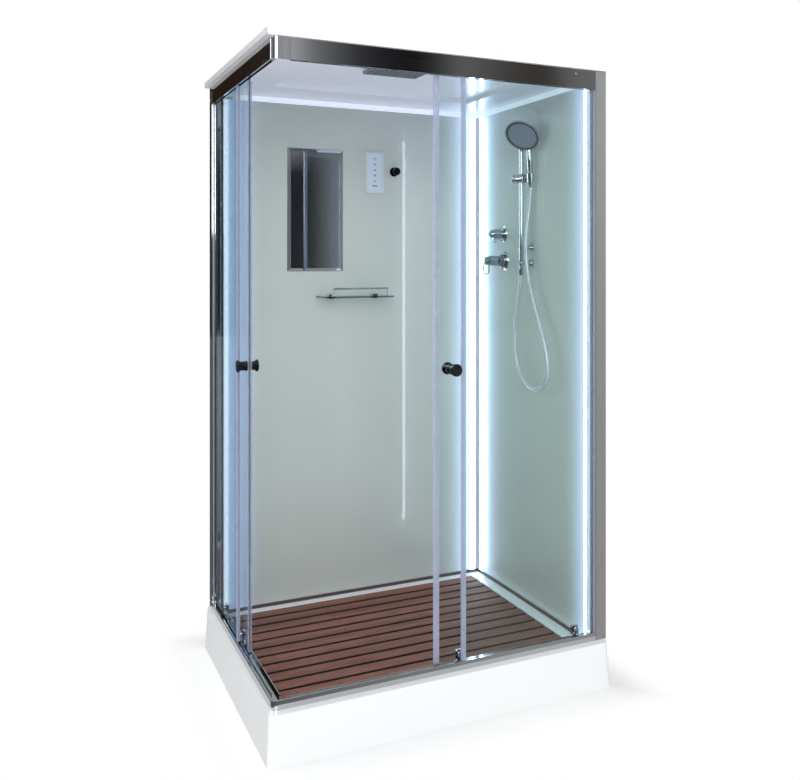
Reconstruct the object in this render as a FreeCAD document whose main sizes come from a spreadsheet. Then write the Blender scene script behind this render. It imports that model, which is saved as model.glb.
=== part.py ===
import FreeCAD, Part

import math
import os
from types import SimpleNamespace

import Sketcher
from FreeCAD import Placement, Rotation, Vector

# Shower cabin, 1200 x 900 mm, for a corner entry with two sliding doors.
# +X runs along the long glazed side, +Y from that side to the back wall, +Z up.
# The origin is the centre of the footprint on the floor. The doors are drawn open.

# Driving dimensions, in millimetres and degrees, kept in the document's sheet.
SIZES = {
    # tray
    "tray_length": 1200,
    "tray_depth": 900,
    "tray_height": 150,
    "tray_draft": 8,
    "tray_corner": 24,
    "tray_wall": 5,
    "ledge_drop": 29,
    "ledge_width_x": 54,
    "ledge_width_y": 37,
    "pan_floor": 8,
    "drain_x": 250,
    "drain_y": 200,
    "drain_hole": 42,
    "drain_dish": 110,
    "drain_dish_depth": 3,
    "pipe_notch": 25,
    # steel frame and feet below the tray
    "tube_size": 20,
    "tube_wall": 2,
    "frame_reach_x": 500,
    "frame_side_y": 330,
    "cross_tube_x": 480,
    "foot_stud": 6,
    "foot_pad": 22,
    "foot_pad_height": 8,
    "foot_nut": 10,
    "foot_nut_height": 10,
    # waste trap and its grate
    "trap_radius": 42,
    "trap_bottom": 10,
    "trap_wall": 3,
    "trap_flange": 54,
    "trap_flange_thick": 5,
    "outlet_radius": 20,
    "outlet_collar": 24,
    "outlet_collar_reach": 4,
    "outlet_height": 32,
    "outlet_end_gap": 6,
    "drain_gap": 0.3,
    "grate_radius": 56,
    "grate_thick": 3,
    "grate_slot_width": 5,
    "grate_slot_length": 26,
    "grate_slot_start": 14,
    # slatted deck
    "slat_gap": 8,
    "slat_thick": 18,
    "slat_round": 3,
    "slat_back_gap": 3,
    "slat_front_gap": 3.8,
    "slat_right_gap": 3,
    "slat_left_gap": 6,
    "bearer_width": 40,
    "bearer_height": 20,
    "bearer_gap": 4,
    "bearer_inset": 50,
    # glazing frame
    "frame_top": 2100,
    "front_setback": 36,
    "left_setback": 20,
    "sill_depth": 42,
    "sill_height": 27,
    "sill_base": 3,
    "sill_lip": 2.5,
    "sill_lip_height": 14,
    "header_depth": 50,
    "header_height": 66,
    "header_wall": 2.5,
    "header_track_height": 28,
    "header_track_start": 33,
    "track_bead": 2,
    "track_bead_depth": 37,
    "glass_thick": 6,
    "pane_depth": 10,
    "pane_groove": 8,
    "groove_cheek": 2.5,
    "groove_height": 22,
    "sill_groove_floor": 8,
    "corner_size": 60,
    "corner_round": 16,
    # posts
    "post_width": 39,
    "post_lip": 4,
    "post_lip_step": 1,
    "post_groove_depth": 10,
    "post_wall": 2.5,
    # fixed panes and doors
    "fixed_front_width": 514,
    "fixed_left_width": 373,
    "door_depth": 26,
    "front_trail_gap": 8,
    "front_door_width": 601,
    "left_trail_gap": 45,
    "left_door_width": 425,
    "door_lift": 10,
    "door_top_gap": 6,
    "seal_width": 12,
    "seal_thick": 10,
    "seal_grip": 5,
    "lip_seal_width": 8,
    "edge_strip": 15,
    "edge_strip_thick": 9,
    "post_gasket": 5,
    # door knobs
    "front_knob_inset": 65,
    "left_knob_inset": 41,
    "knob_height": 1103,
    "knob_radius": 20,
    "knob_foot": 17,
    "knob_stem": 15,
    "knob_bolt": 4,
    "knob_out": 32,
    "knob_in": 32,
    "knob_cap": 8,
    "knob_collar": 3,
    "knob_bevel": 1.5,
    # hangers and guides that carry the doors
    "front_hanger_inset": 93,
    "left_hanger_inset": 117,
    "hanger_last": 61,
    "hanger_bolt": 4.8,
    "bolt_gap": 0.2,
    "hanger_cap": 11,
    "hanger_cap_thick": 3.5,
    "hanger_collar": 2.5,
    "wheel_axle": 3,
    "wheel_play": 0.05,
    "wheel_radius": 11.4,
    "wheel_groove": 9.5,
    "wheel_groove_width": 3,
    "wheel_thick": 7,
    "wheel_run_gap": 0.2,
    "axle_head": 5.5,
    "axle_head_thick": 1.5,
    "guide_height": 190,
    "guide_cap": 9,
    "guide_body_width": 24,
    "guide_body_height": 28,
    "guide_body_depth": 9,
    "guide_arm": 2.2,
    "guide_wheel_radius": 10,
    "guide_wheel_thick": 6,
    "guide_floor_gap": 0.3,
    "guide_body_gap": 0.3,
    # walls
    "wall_setback_x": 38,
    "wall_setback_y": 35,
    "wall_thick": 6,
    "wall_trim_height": 12,
    "wall_trim_proud": 4,
    "stud_width": 30,
    "stud_depth": 18,
    "middle_stud_y": -60,
    "corner_strip": 17,
    "light_width": 25,
    "light_thick": 4,
    "light_gap": 1,
    "cove_bottom": 2060,
    "cove_top": 2079,
    # roof
    "roof_overhang_left": 17,
    "roof_overhang_front": 7,
    "roof_rim": 20,
    "roof_top_inset": 14,
    "roof_skin": 6,
    "ceiling_recess": 15,
    "recess_right": 160,
    "recess_back": 205,
    "recess_left": 130,
    "recess_front": 40,
    "recess_slope": 14,
    # overhead shower
    "rain_x": -78,
    "rain_y": -200,
    "rain_size": 200,
    "rain_thick": 8,
    "rain_round": 10,
    "rain_plate_drop": 2,
    "rain_neck": 16,
    "rain_stem": 10,
    "rain_stem_length": 34,
    "rain_union_drop": 20,
    # power supply on the roof
    "supply_x": 230,
    "supply_y": 60,
    "supply_length": 150,
    "supply_width": 60,
    "supply_height": 50,
    "supply_foot": 18,
    "supply_foot_thick": 4,
    # mirror, panel and hook on the back wall
    "mirror_left": -287,
    "mirror_width": 230,
    "mirror_bottom": 1409,
    "mirror_height": 481,
    "mirror_thick": 5,
    "mirror_bevel": 12,
    "mirror_edge": 3.5,
    "panel_left": 38,
    "panel_width": 80,
    "panel_bottom": 1722,
    "panel_height": 168,
    "panel_thick": 12,
    "panel_round": 5,
    "panel_border": 9,
    "panel_recess": 1.5,
    "hook_x": 167,
    "hook_z": 1814,
    "hook_plate": 19,
    "hook_plate_thick": 4,
    "hook_neck": 7,
    "hook_reach": 34,
    "hook_head": 16,
    "hook_head_thick": 12,
    "hook_bevel": 3,
    "hook_plate_bevel": 1,
    # shelf
    "shelf_left": -170,
    "shelf_width": 300,
    "shelf_depth": 115,
    "shelf_z": 1306,
    "shelf_thick": 6,
    "shelf_back_gap": 3,
    "shelf_round": 30,
    "clamp_width": 24,
    "clamp_height": 18,
    "clamp_depth": 26,
    "clamp_inset": 58,
    "guard_left": -136,
    "guard_width": 231,
    "guard_radius": 4,
    "guard_height": 30,
    "guard_post": 3.5,
    "guard_post_inset": 4,
    "guard_foot": 7,
    "guard_foot_thick": 3,
    "guard_setback": 10,
    # riser rail
    "bar_off_wall": 47,
    "bar_y": -3,
    "bar_bottom": 1452,
    "bar_top": 1966,
    "bar_radius": 10,
    "bar_wall": 1.5,
    "bracket_low": 1500,
    "bracket_high": 1948,
    "bracket_arm": 8,
    "bracket_sleeve": 13,
    "bracket_sleeve_height": 22,
    "bracket_plate": 19,
    "bracket_plate_thick": 5,
    "outlet_z": 1440,
    "outlet_arm": 9,
    "outlet_boss": 14,
    "outlet_boss_radius": 8,
    "outlet_end": 1420,
    "outlet_nozzle": 9,
    "outlet_ball": 12,
    # slider, holder and hand shower
    "slider_z": 1764,
    "slider_turn": -59,
    "slider_radius": 19,
    "slider_back": 22,
    "slider_front": 17,
    "slider_play": 0.05,
    "slider_knob": 17.5,
    "slider_knob_length": 16,
    "slider_round": 7,
    "holder_offset": 38,
    "holder_pin": 6,
    "holder_outer": 18,
    "holder_height": 32,
    "holder_gap": 0.3,
    "hand_lean": 6,
    "cone_bottom": 10.5,
    "cone_top": 12.5,
    "cone_reach": 22,
    "hand_collar": 15,
    "hand_collar_height": 4,
    "grip_radius": 14,
    "grip_top": 140,
    "head_height": 161,
    "head_forward": 46,
    "head_tilt": 37,
    "head_radius": 67.5,
    "head_rim": 4,
    "head_dome": 44,
    "face_radius": 62.5,
    "face_gap": 0.3,
    "face_thick": 3,
    # mixer and diverter on the right wall
    "valve_y": 206,
    "diverter_y": 210,
    "mixer_z": 1450,
    "diverter_z": 1558,
    "valve_bar": 8,
    "valve_column": 12,
    "valve_boss": 10,
    "valve_boss_reach": 18,
    "valve_spread": 48,
    "inlet_radius": 10.5,
    "inlet_offset": 38,
    "inlet_collar": 13,
    "inlet_collar_reach": 8.5,
    "inlet_reach": 18,
    "cartridge": 14.7,
    "mixer_plate": 40,
    "diverter_plate": 34,
    "plate_thick": 5,
    "mixer_cap": 28,
    "mixer_cap_length": 22,
    "lever_joint": 8.5,
    "lever_pivot": 3,
    "lever_pivot_reach": 9.5,
    "lever_reach": 44,
    "lever_drum": 20,
    "ring_wire": 2.6,
    "ring_round": 2.2,
    "ring_height": 52,
    "ring_width": 30,
    "ring_drop": 30,
    "diverter_collar": 16,
    "diverter_collar_length": 12,
    "diverter_knob": 21,
    "diverter_knob_length": 42,
    "lever_pin": 3,
    "lever_pin_length": 34,
    "turn_gap": 0.3,
    # supply pipes behind the right wall
    "pipe_radius": 7,
    "pipe_bend": 22,
    "pipe_depth": 20,
    "roof_pipe_rise": 23,
    "hand_pipe_rise": 50,
    # hand shower hose
    "hose_diameter": 14,
    "hose_first_run": 45,
    "hose_last_run": 50,
    # one overrun for every cut that goes right through
    "overrun": 10,
}

SLAT_COUNT = 12
BEARER_COUNT = 4
GRATE_SLOTS = 10
SAME_PLACE = 1e-3

doc = FreeCAD.newDocument("shower_cabin")
sheet = doc.addObject("Spreadsheet::Sheet", "dims")
for row, (alias, number) in enumerate(SIZES.items(), 1):
    sheet.set(f"A{row}", alias)
    sheet.set(f"B{row}", str(number))
    sheet.setAlias(f"B{row}", alias)
doc.recompute()


class Size:
    """A size from the sheet, or a sum of such sizes: its value, and the formula a property is bound to."""

    def __init__(self, value, text):
        self.value = float(value)
        self.text = text

    def __float__(self):
        return self.value

    def __add__(self, other):
        return Size(self.value + float(other), f"({self.text} + {formula(other)})")

    def __radd__(self, other):
        return Size(float(other) + self.value, f"({formula(other)} + {self.text})")

    def __sub__(self, other):
        return Size(self.value - float(other), f"({self.text} - {formula(other)})")

    def __rsub__(self, other):
        return Size(float(other) - self.value, f"({formula(other)} - {self.text})")

    def __mul__(self, other):
        return Size(self.value * float(other), f"({self.text} * {formula(other)})")

    def __rmul__(self, other):
        return Size(self.value * float(other), f"({formula(other)} * {self.text})")

    def __truediv__(self, other):
        return Size(self.value / float(other), f"({self.text} / {formula(other)})")

    def __neg__(self):
        return Size(-self.value, f"(0 - {self.text})")


def formula(value):
    return value.text if isinstance(value, Size) else repr(float(value))


s = SimpleNamespace(**{alias: Size(number, "dims." + alias) for alias, number in SIZES.items()})

ALONG = {
    "X": Rotation(Vector(0, 1, 0), 90),
    "-X": Rotation(Vector(0, 1, 0), -90),
    "Y": Rotation(Vector(1, 0, 0), -90),
    "-Y": Rotation(Vector(1, 0, 0), 90),
    "Z": Rotation(),
    "-Z": Rotation(Vector(1, 0, 0), 180),
}
nodes = []
used_names = {}


def unique(name):
    used_names[name] = used_names.get(name, 0) + 1
    return f"{name}_{used_names[name]}"


def put(obj, x, y, z, rotation=None):
    """Places an object: its turn, and a base point bound to the sheet."""
    obj.Placement = Placement(Vector(float(x), float(y), float(z)), rotation or Rotation())
    for axis, value in zip("xyz", (x, y, z)):
        if isinstance(value, Size):
            obj.setExpression("Placement.Base." + axis, value.text)
    return obj


def bind(obj, **sizes):
    for prop, value in sizes.items():
        if isinstance(value, Size):
            obj.setExpression(prop, value.text)
        else:
            setattr(obj, prop, value)
    return obj


def block(name, x0, x1, y0, y1, z0, z1):
    """A box between two corners."""
    obj = doc.addObject("Part::Box", unique(name))
    bind(obj, Length=x1 - x0, Width=y1 - y0, Height=z1 - z0)
    return put(obj, x0, y0, z0)


def rod(name, axis, x, y, z, radius, length):
    """A cylinder from a point along a signed axis."""
    obj = doc.addObject("Part::Cylinder", unique(name))
    bind(obj, Radius=radius, Height=length)
    return put(obj, x, y, z, ALONG[axis])


def ball(name, x, y, z, radius, axis="Z"):
    obj = doc.addObject("Part::Sphere", unique(name))
    bind(obj, Radius=radius)
    return put(obj, x, y, z, ALONG[axis])


def frustum(name, low, high, z0, z1):
    """A block whose plan goes from low to high, each (x0, x1, y0, y1), between two heights."""
    obj = doc.addObject("Part::Wedge", unique(name))
    bind(obj, Xmin=low[0], Xmax=low[1], Zmin=-low[3], Zmax=-low[2], Ymin=z0)
    bind(obj, X2min=high[0], X2max=high[1], Z2min=-high[3], Z2max=-high[2], Ymax=z1)
    return put(obj, 0, 0, 0, Rotation(Vector(1, 0, 0), 90))


def cut(name, base, *tools):
    obj = doc.addObject("Part::Cut", unique(name))
    obj.Base = base
    obj.Tool = tools[0] if len(tools) == 1 else fuse(name + "_tools", *tools)
    obj.Refine = True
    return obj


def fuse(name, *shapes):
    obj = doc.addObject("Part::MultiFuse", unique(name))
    obj.Shapes = list(shapes)
    obj.Refine = True
    return obj


def group(name, *solids):
    """Like pieces that share one node, as separate solids."""
    obj = doc.addObject("Part::Compound", unique(name))
    obj.Links = list(solids)
    return obj


def rounded(name, base, radius, chosen):
    """Rounds the edges of base that chosen picks."""
    doc.recompute()
    obj = doc.addObject("Part::Fillet", unique(name))
    obj.Base = base
    edges = enumerate(base.Shape.Edges, 1)
    obj.Edges = [(number, float(radius), float(radius)) for number, edge in edges if chosen(edge)]
    return obj


def runs_along(edge, axis):
    """True if an edge is straight and runs mostly along a unit axis."""
    if len(edge.Vertexes) < 2:
        return False
    way = edge.Vertexes[1].Point - edge.Vertexes[0].Point
    return abs(way.normalize().dot(axis)) > math.cos(math.radians(10))


def middle(edge):
    return (edge.Vertexes[0].Point + edge.Vertexes[-1].Point) / 2


def section(body, role, loops):
    """A sketch on one of the body's own planes, whose every corner is bound to the sheet."""
    sketch = body.newObject("Sketcher::SketchObject", unique(body.Name + "_section"))
    plane = next(item for item in body.Origin.OriginFeatures if item.Role == role)
    sketch.AttachmentSupport = [(plane, "")]
    sketch.MapMode = "FlatFace"
    for corners in loops:
        first = sketch.GeometryCount
        spots = [Vector(float(u), float(v), 0) for u, v in corners]
        for i, spot in enumerate(spots):
            sketch.addGeometry(Part.LineSegment(spot, spots[(i + 1) % len(spots)]), False)
        for i, (u, v) in enumerate(corners):
            line = first + i
            after = first + (i + 1) % len(corners)
            sketch.addConstraint(Sketcher.Constraint("Coincident", line, 2, after, 1))
            for kind, value, axis in (("DistanceX", u, -2), ("DistanceY", v, -1)):
                if not isinstance(value, Size):
                    sketch.addConstraint(Sketcher.Constraint("PointOnObject", line, 1, axis))
                    continue
                number = sketch.addConstraint(Sketcher.Constraint(kind, -1, 1, line, 1, float(value)))
                sketch.setExpression(f"Constraints[{number}]", value.text)
    return sketch


def extrusion(name, role, loops, length, reverse=False):
    """A profile drawn as closed loops and drawn out to a length."""
    body = doc.addObject("PartDesign::Body", unique(name))
    sketch = section(body, role, loops)
    pad = body.newObject("PartDesign::Pad", unique(name + "_pad"))
    pad.Profile = sketch
    pad.Reversed = reverse
    bind(pad, Length=length)
    sketch.Visibility = False
    return body


def turned(name, outline):
    """A turned piece about its own Z, from (radius, height) corners."""
    body = doc.addObject("PartDesign::Body", unique(name))
    sketch = section(body, "XZ_Plane", [outline])
    turn = body.newObject("PartDesign::Revolution", unique(name + "_turn"))
    turn.Profile = sketch
    turn.ReferenceAxis = (sketch, ["V_Axis"])
    turn.Angle = 360
    return body


def shaped(radius, length, shares):
    """Outline corners at shares of a radius and of a length."""
    return [(radius * across if across else 0, length * along if along else 0) for across, along in shares]


def keep(node, obj):
    """Names a finished sub-part; its label is the name of its file."""
    obj.Label = node
    nodes.append(obj)
    return obj


# Places that several pieces share.
half_x = s.tray_length / 2
half_y = s.tray_depth / 2
front_face = s.front_setback - half_y
left_face = s.left_setback - half_x
wall_x = half_x - s.wall_setback_x
wall_y = half_y - s.wall_setback_y
rim_z = s.tray_height
ledge_z = s.tray_height - s.ledge_drop
rim_y = front_face + s.sill_depth
rim_x = left_face + s.sill_depth
pan_right = wall_x - s.ledge_width_x
pan_back = wall_y - s.ledge_width_y
pan_z = ledge_z - s.slat_thick - s.bearer_height
under_pan = pan_z - s.pan_floor
header_z = s.frame_top - s.header_height
post_x = half_x - s.post_width
post_y = wall_y + s.wall_thick + s.stud_depth - s.post_width + s.wall_thick / 2
recess_z = s.cove_top + s.ceiling_recess
slat_pitch = (pan_back - s.slat_back_gap - rim_y - s.slat_front_gap + s.slat_gap) / SLAT_COUNT
slat_width = slat_pitch - s.slat_gap
front_lead = post_x - s.front_trail_gap - s.front_door_width
left_lead = post_y - s.left_trail_gap - s.left_door_width
bar_x = wall_x - s.bar_off_wall


def plan(inset):
    """The tray's footprint, drawn in by an inset on every side."""
    return (inset - half_x, half_x - inset, inset - half_y, half_y - inset)


# Tray: one moulding with a tapered skirt, a raised rim under the two glazed sides,
# a lower ledge under the two walls, and a sunken pan that the deck lies in.
def make_tray():
    outer = frustum("tray_outer", plan(0), plan(s.tray_draft), 0, rim_z)
    upright = Vector(0, 0, 1)
    outer = rounded("tray_round", outer, s.tray_corner, lambda edge: runs_along(edge, upright))
    ledge_bottom = ledge_z - s.tray_wall
    rim_bottom = rim_z - s.tray_wall
    wide = plan(s.tray_wall)
    drafted = plan(s.tray_wall + s.tray_draft)
    hollow = frustum("tray_hollow", wide, drafted, -s.overrun, ledge_bottom)
    x0, x1, y0, y1 = drafted
    front = block("rim_hollow_front", x0, x1, y0, rim_y - s.tray_wall, rim_z / 2, rim_bottom)
    left = block("rim_hollow_left", x0, rim_x - s.tray_wall, y0, y1, rim_z / 2, rim_bottom)
    pan = block(
        "pan_outer", rim_x - s.tray_wall, pan_right + s.tray_wall, rim_y - s.tray_wall, pan_back + s.tray_wall,
        under_pan, rim_z,
    )
    hollow = cut("tray_under", fuse("tray_hollows", hollow, front, left), pan)
    top = rim_z + s.overrun
    ledge = block("ledge_cut", rim_x, half_x + s.overrun, rim_y, half_y + s.overrun, ledge_z, top)
    well = block("pan_well", rim_x, pan_right, rim_y, pan_back, pan_z, top)
    hole = rod("drain_hole", "Z", s.drain_x, s.drain_y, under_pan - s.overrun, s.drain_hole, s.tray_height)
    dish = doc.addObject("Part::Cone", unique("drain_dish"))
    bind(dish, Radius1=s.grate_radius + s.drain_gap, Radius2=s.drain_dish, Height=s.drain_dish_depth)
    put(dish, s.drain_x, s.drain_y, pan_z - s.drain_dish_depth)
    notch = rod("pipe_notch", "Y", s.drain_x, half_y / 2, s.outlet_height, s.pipe_notch, half_y)
    keep("tray", cut("tray", outer, hollow, ledge, well, hole, dish, notch))


# Steel frame: square tubes welded into a ladder, with the pan resting on it.
def make_tray_frame():
    top = under_pan
    low = top - s.tube_size
    half = s.tube_size / 2
    tubes = []
    bores = []
    for side in (-1, 1):
        y = s.frame_side_y * side
        tubes.append(block("side_tube", -s.frame_reach_x, s.frame_reach_x, y - half, y + half, low, top))
        wall = s.tube_wall
        bores.append(
            block(
                "side_bore", -s.frame_reach_x - s.overrun, s.frame_reach_x + s.overrun,
                y - half + wall, y + half - wall, low + wall, top - wall,
            )
        )
    for side in (-1, 0, 1):
        x = s.cross_tube_x * side
        tubes.append(block("cross_tube", x - half, x + half, -s.frame_side_y, s.frame_side_y, low, top))
    keep("tray_frame", cut("tray_frame", fuse("frame_tubes", *tubes), *bores))


# Feet: a rubber pad on a threaded stud, locked against the frame by a nut.
def make_feet():
    low = under_pan - s.tube_size
    feet = []
    for x in (-s.cross_tube_x, 0, s.cross_tube_x):
        for y in (-s.frame_side_y, s.frame_side_y):
            pad = rod("foot_pad", "Z", x, y, 0, s.foot_pad, s.foot_pad_height)
            stud = rod("foot_stud", "Z", x, y, 0, s.foot_stud, low)
            nut = doc.addObject("Part::Prism", unique("foot_nut"))
            bind(nut, Circumradius=s.foot_nut, Height=s.foot_nut_height)
            nut.Polygon = 6
            put(nut, x, y, low - s.foot_nut_height)
            feet.append(fuse("foot", pad, stud, nut))
    keep("leveling_feet", group("leveling_feet", *feet))


# Waste trap: a cup below the drain hole with a spigot that leaves at the back.
def make_drain():
    neck = s.drain_hole - s.drain_gap
    rise = pan_z - s.drain_dish_depth - s.trap_bottom
    seat = under_pan - s.trap_bottom
    outline = [
        (0, 0), (s.trap_radius, 0), (s.trap_radius, seat - s.trap_flange_thick),
        (s.trap_flange, seat - s.trap_flange_thick), (s.trap_flange, seat), (neck, seat), (neck, rise),
        (neck - s.trap_wall, rise), (neck - s.trap_wall, seat - s.trap_flange_thick),
        (s.trap_radius - s.trap_wall, seat - s.trap_flange_thick * 2),
        (s.trap_radius - s.trap_wall, s.trap_wall), (0, s.trap_wall),
    ]
    cup = put(turned("trap_cup", outline), s.drain_x, s.drain_y, s.trap_bottom)
    reach = half_y - s.outlet_end_gap - s.drain_y
    start = s.trap_radius - s.trap_wall
    spigot = rod(
        "spigot", "Y", s.drain_x, s.drain_y + start, s.outlet_height, s.outlet_radius, reach - start
    )
    shoulder = s.trap_wall + s.outlet_collar_reach
    collar = rod(
        "spigot_collar", "Y", s.drain_x, s.drain_y + start, s.outlet_height, s.outlet_collar, shoulder
    )
    bore = rod(
        "spigot_bore", "Y", s.drain_x, s.drain_y, s.outlet_height, s.outlet_radius - s.trap_wall, half_y
    )
    keep("drain_body", cut("drain_body", fuse("trap", cup, spigot, collar), bore))
    disc = rod("grate", "Z", s.drain_x, s.drain_y, pan_z - s.drain_dish_depth, s.grate_radius, s.grate_thick)
    slots = []
    for i in range(GRATE_SLOTS):
        slot = doc.addObject("Part::Box", unique("grate_slot"))
        bind(slot, Length=s.grate_slot_length, Width=s.grate_slot_width, Height=s.grate_thick + s.overrun * 2)
        turn = Rotation(Vector(0, 0, 1), 360 * i / GRATE_SLOTS)
        corner = turn.multVec(Vector(float(s.grate_slot_start), -float(s.grate_slot_width) / 2, 0))
        z = pan_z - s.drain_dish_depth - s.overrun
        put(slot, s.drain_x + corner.x, s.drain_y + corner.y, z, turn)
        slots.append(slot)
    keep("drain_grate", cut("drain_grate", disc, *slots))


# Deck: twelve slats with rounded top edges, screwed to four bearers, loose in the pan.
def make_deck():
    x0 = rim_x + s.slat_left_gap
    x1 = pan_right - s.slat_right_gap
    slats = []
    for i in range(SLAT_COUNT):
        back = pan_back - s.slat_back_gap - slat_pitch * i
        plank = block("plank", x0, x1, back - slat_width, back, ledge_z - s.slat_thick, ledge_z)

        def top_edge(edge):
            along = runs_along(edge, Vector(1, 0, 0))
            return along and abs(middle(edge).z - float(ledge_z)) < float(s.slat_round)

        slats.append(rounded("slat", plank, s.slat_round, top_edge))
    keep("deck_slats", group("deck_slats", *slats))
    bearers = []
    span = x1 - x0 - s.bearer_inset * 2 - s.bearer_width
    for i in range(BEARER_COUNT):
        x = x0 + s.bearer_inset + span * (i / (BEARER_COUNT - 1))
        y0 = rim_y + s.bearer_gap
        bearers.append(
            block(
                "bearer", x, x + s.bearer_width, y0, pan_back - s.bearer_gap, pan_z, pan_z + s.bearer_height
            )
        )
    keep("deck_bearers", group("deck_bearers", *bearers))


# The extruded sections. Depth is measured inwards from the outer face.
def sill_section():
    """Bottom rail: a groove for the fixed pane, and behind it a channel for the door's guide wheels."""
    g0 = s.pane_depth - s.pane_groove / 2
    g1 = s.pane_depth + s.pane_groove / 2
    cheek = g1 + s.groove_cheek
    lip = s.sill_depth - s.sill_lip
    return [[
        (0, 0), (s.sill_depth, 0), (s.sill_depth, s.sill_lip_height), (lip, s.sill_lip_height), (lip, s.sill_base),
        (cheek, s.sill_base), (cheek, s.sill_height - s.sill_base), (g1, s.sill_height - s.sill_base),
        (g1, s.sill_groove_floor), (g0, s.sill_groove_floor), (g0, s.sill_height), (0, s.sill_height),
    ]]


def header_section():
    """Top rail: an outer face, a groove for the fixed pane, and a beaded track for the hanger wheels."""
    g0 = s.pane_depth - s.pane_groove / 2
    g1 = s.pane_depth + s.pane_groove / 2
    cheek = g1 + s.groove_cheek
    inner = s.header_depth - s.header_wall
    top = s.header_height - s.header_wall
    track = s.header_track_height + s.header_wall
    b0 = s.track_bead_depth - s.track_bead / 2
    b1 = s.track_bead_depth + s.track_bead / 2
    bead = track + s.track_bead
    return [[
        (0, 0), (g0, 0), (g0, s.groove_height), (g1, s.groove_height), (g1, 0), (cheek, 0),
        (cheek, s.groove_height + s.header_wall), (s.header_wall, s.groove_height + s.header_wall),
        (s.header_wall, top), (inner, top), (inner, track), (b1, track), (b1, bead), (b0, bead), (b0, track),
        (s.header_track_start, track), (s.header_track_start, s.header_track_height),
        (s.header_depth, s.header_track_height), (s.header_depth, s.header_height), (0, s.header_height),
    ]]


def post_section():
    """Post: a box with a groove for the fixed pane and a stepped lip. Width first, then depth."""
    g0 = s.pane_depth - s.pane_groove / 2
    g1 = s.pane_depth + s.pane_groove / 2
    lip = -s.post_lip
    cheek = g1 + s.groove_cheek
    wall = s.post_wall
    chamber = s.post_groove_depth + wall
    return [
        [
            (0, 0), (s.post_width, 0), (s.post_width, s.sill_depth), (0, s.sill_depth), (0, cheek), (lip, cheek),
            (lip, g1), (s.post_groove_depth, g1), (s.post_groove_depth, g0), (lip, g0), (lip, s.post_lip_step),
            (0, s.post_lip_step),
        ],
        [
            (chamber, wall), (s.post_width - wall, wall), (s.post_width - wall, s.sill_depth - wall),
            (chamber, s.sill_depth - wall),
        ],
    ]


def swapped(loops):
    """The same section with its two directions changed over, for the other side of the corner."""
    return [[(v, u) for u, v in loop] for loop in loops]


# Rails: each runs from the corner block to the post at the far end of its side.
def make_rails():
    x0 = left_face + s.corner_size
    y0 = front_face + s.corner_size
    x1 = post_x - s.post_lip
    y1 = post_y - s.post_lip
    for name, loops, z in (("bottom_rail", sill_section(), rim_z), ("top_rail", header_section(), header_z)):
        front = extrusion(name + "_front", "YZ_Plane", loops, x1 - x0)
        keep(name + "_front", put(front, x0, front_face, z))
        left = extrusion(name + "_left", "XZ_Plane", loops, y1 - y0, reverse=True)
        keep(name + "_left", put(left, left_face, y0, z))


# Corner blocks: castings that join the two top rails and the two bottom rails.
def make_corner_blocks():
    blocks = []
    inner = s.pane_depth - s.pane_groove / 2
    levels = (("sill_corner", rim_z, rim_z + s.sill_height), ("header_corner", header_z, s.frame_top))
    for name, z0, z1 in levels:
        solid = block(
            name, left_face, left_face + s.corner_size, front_face, front_face + s.corner_size, z0, z1
        )

        def outer_edge(edge):
            spot = middle(edge)
            near = float(s.corner_round)
            beside = abs(spot.x - float(left_face)) < near and abs(spot.y - float(front_face)) < near
            return beside and runs_along(edge, Vector(0, 0, 1))

        solid = rounded(name + "_round", solid, s.corner_round, outer_edge)
        reach_x = left_face + s.corner_size + s.overrun
        reach_y = front_face + s.corner_size + s.overrun
        if name == "sill_corner":
            space = block(
                "sill_space", left_face + inner, reach_x, front_face + inner, reach_y, z0 + s.sill_base,
                z1 + s.overrun,
            )
            notch = block("sill_notch", rim_x, reach_x, rim_y, reach_y, z0 - s.overrun, z1 + s.overrun)
            tools = [space, notch]
        else:
            split = z0 + s.groove_height + s.header_wall
            low = block(
                "header_low", left_face + inner, reach_x, front_face + inner, reach_y, z0 - s.overrun, split
            )
            high = block(
                "header_high", left_face + s.header_wall * 2, reach_x, front_face + s.header_wall * 2, reach_y,
                z0, z1 - s.header_wall,
            )
            inside = block(
                "header_inside", left_face + s.header_depth, reach_x, front_face + s.header_depth, reach_y,
                z0 - s.overrun, z1 + s.overrun,
            )
            tools = [low, high, inside]
        blocks.append(cut(name + "_block", solid, *tools))
    keep("corner_blocks", group("corner_blocks", *blocks))


# Posts: the same section stands at the right end of the front and at the back end of the left side.
def make_posts():
    height = s.frame_top - rim_z
    right = extrusion("post_right", "XY_Plane", post_section(), height)
    keep("post_right", put(right, post_x, front_face, rim_z))
    left = extrusion("post_left", "XY_Plane", swapped(post_section()), height)
    keep("post_left", put(left, left_face, post_y, rim_z))


class Side:
    """One glazed side: u runs along it and depth runs inwards from the rails' outer face."""

    def __init__(self, name, along):
        self.name = name
        self.along = along
        self.face = front_face if along == "X" else left_face
        self.inwards = "Y" if along == "X" else "X"

    def spot(self, u, depth, z):
        return (u, self.face + depth, z) if self.along == "X" else (self.face + depth, u, z)

    def block(self, name, u0, u1, d0, d1, z0, z1):
        if self.along == "X":
            return block(name, u0, u1, self.face + d0, self.face + d1, z0, z1)
        return block(name, self.face + d0, self.face + d1, u0, u1, z0, z1)

    def rod(self, name, u, depth, z, radius, length):
        x, y, z = self.spot(u, depth, z)
        return rod(name, self.inwards, x, y, z, radius, length)

    def turned(self, name, outline, u, depth, z):
        x, y, z = self.spot(u, depth, z)
        return put(turned(name, outline), x, y, z, ALONG[self.inwards])


FRONT = Side("front", "X")
LEFT = Side("left", "Y")


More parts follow.
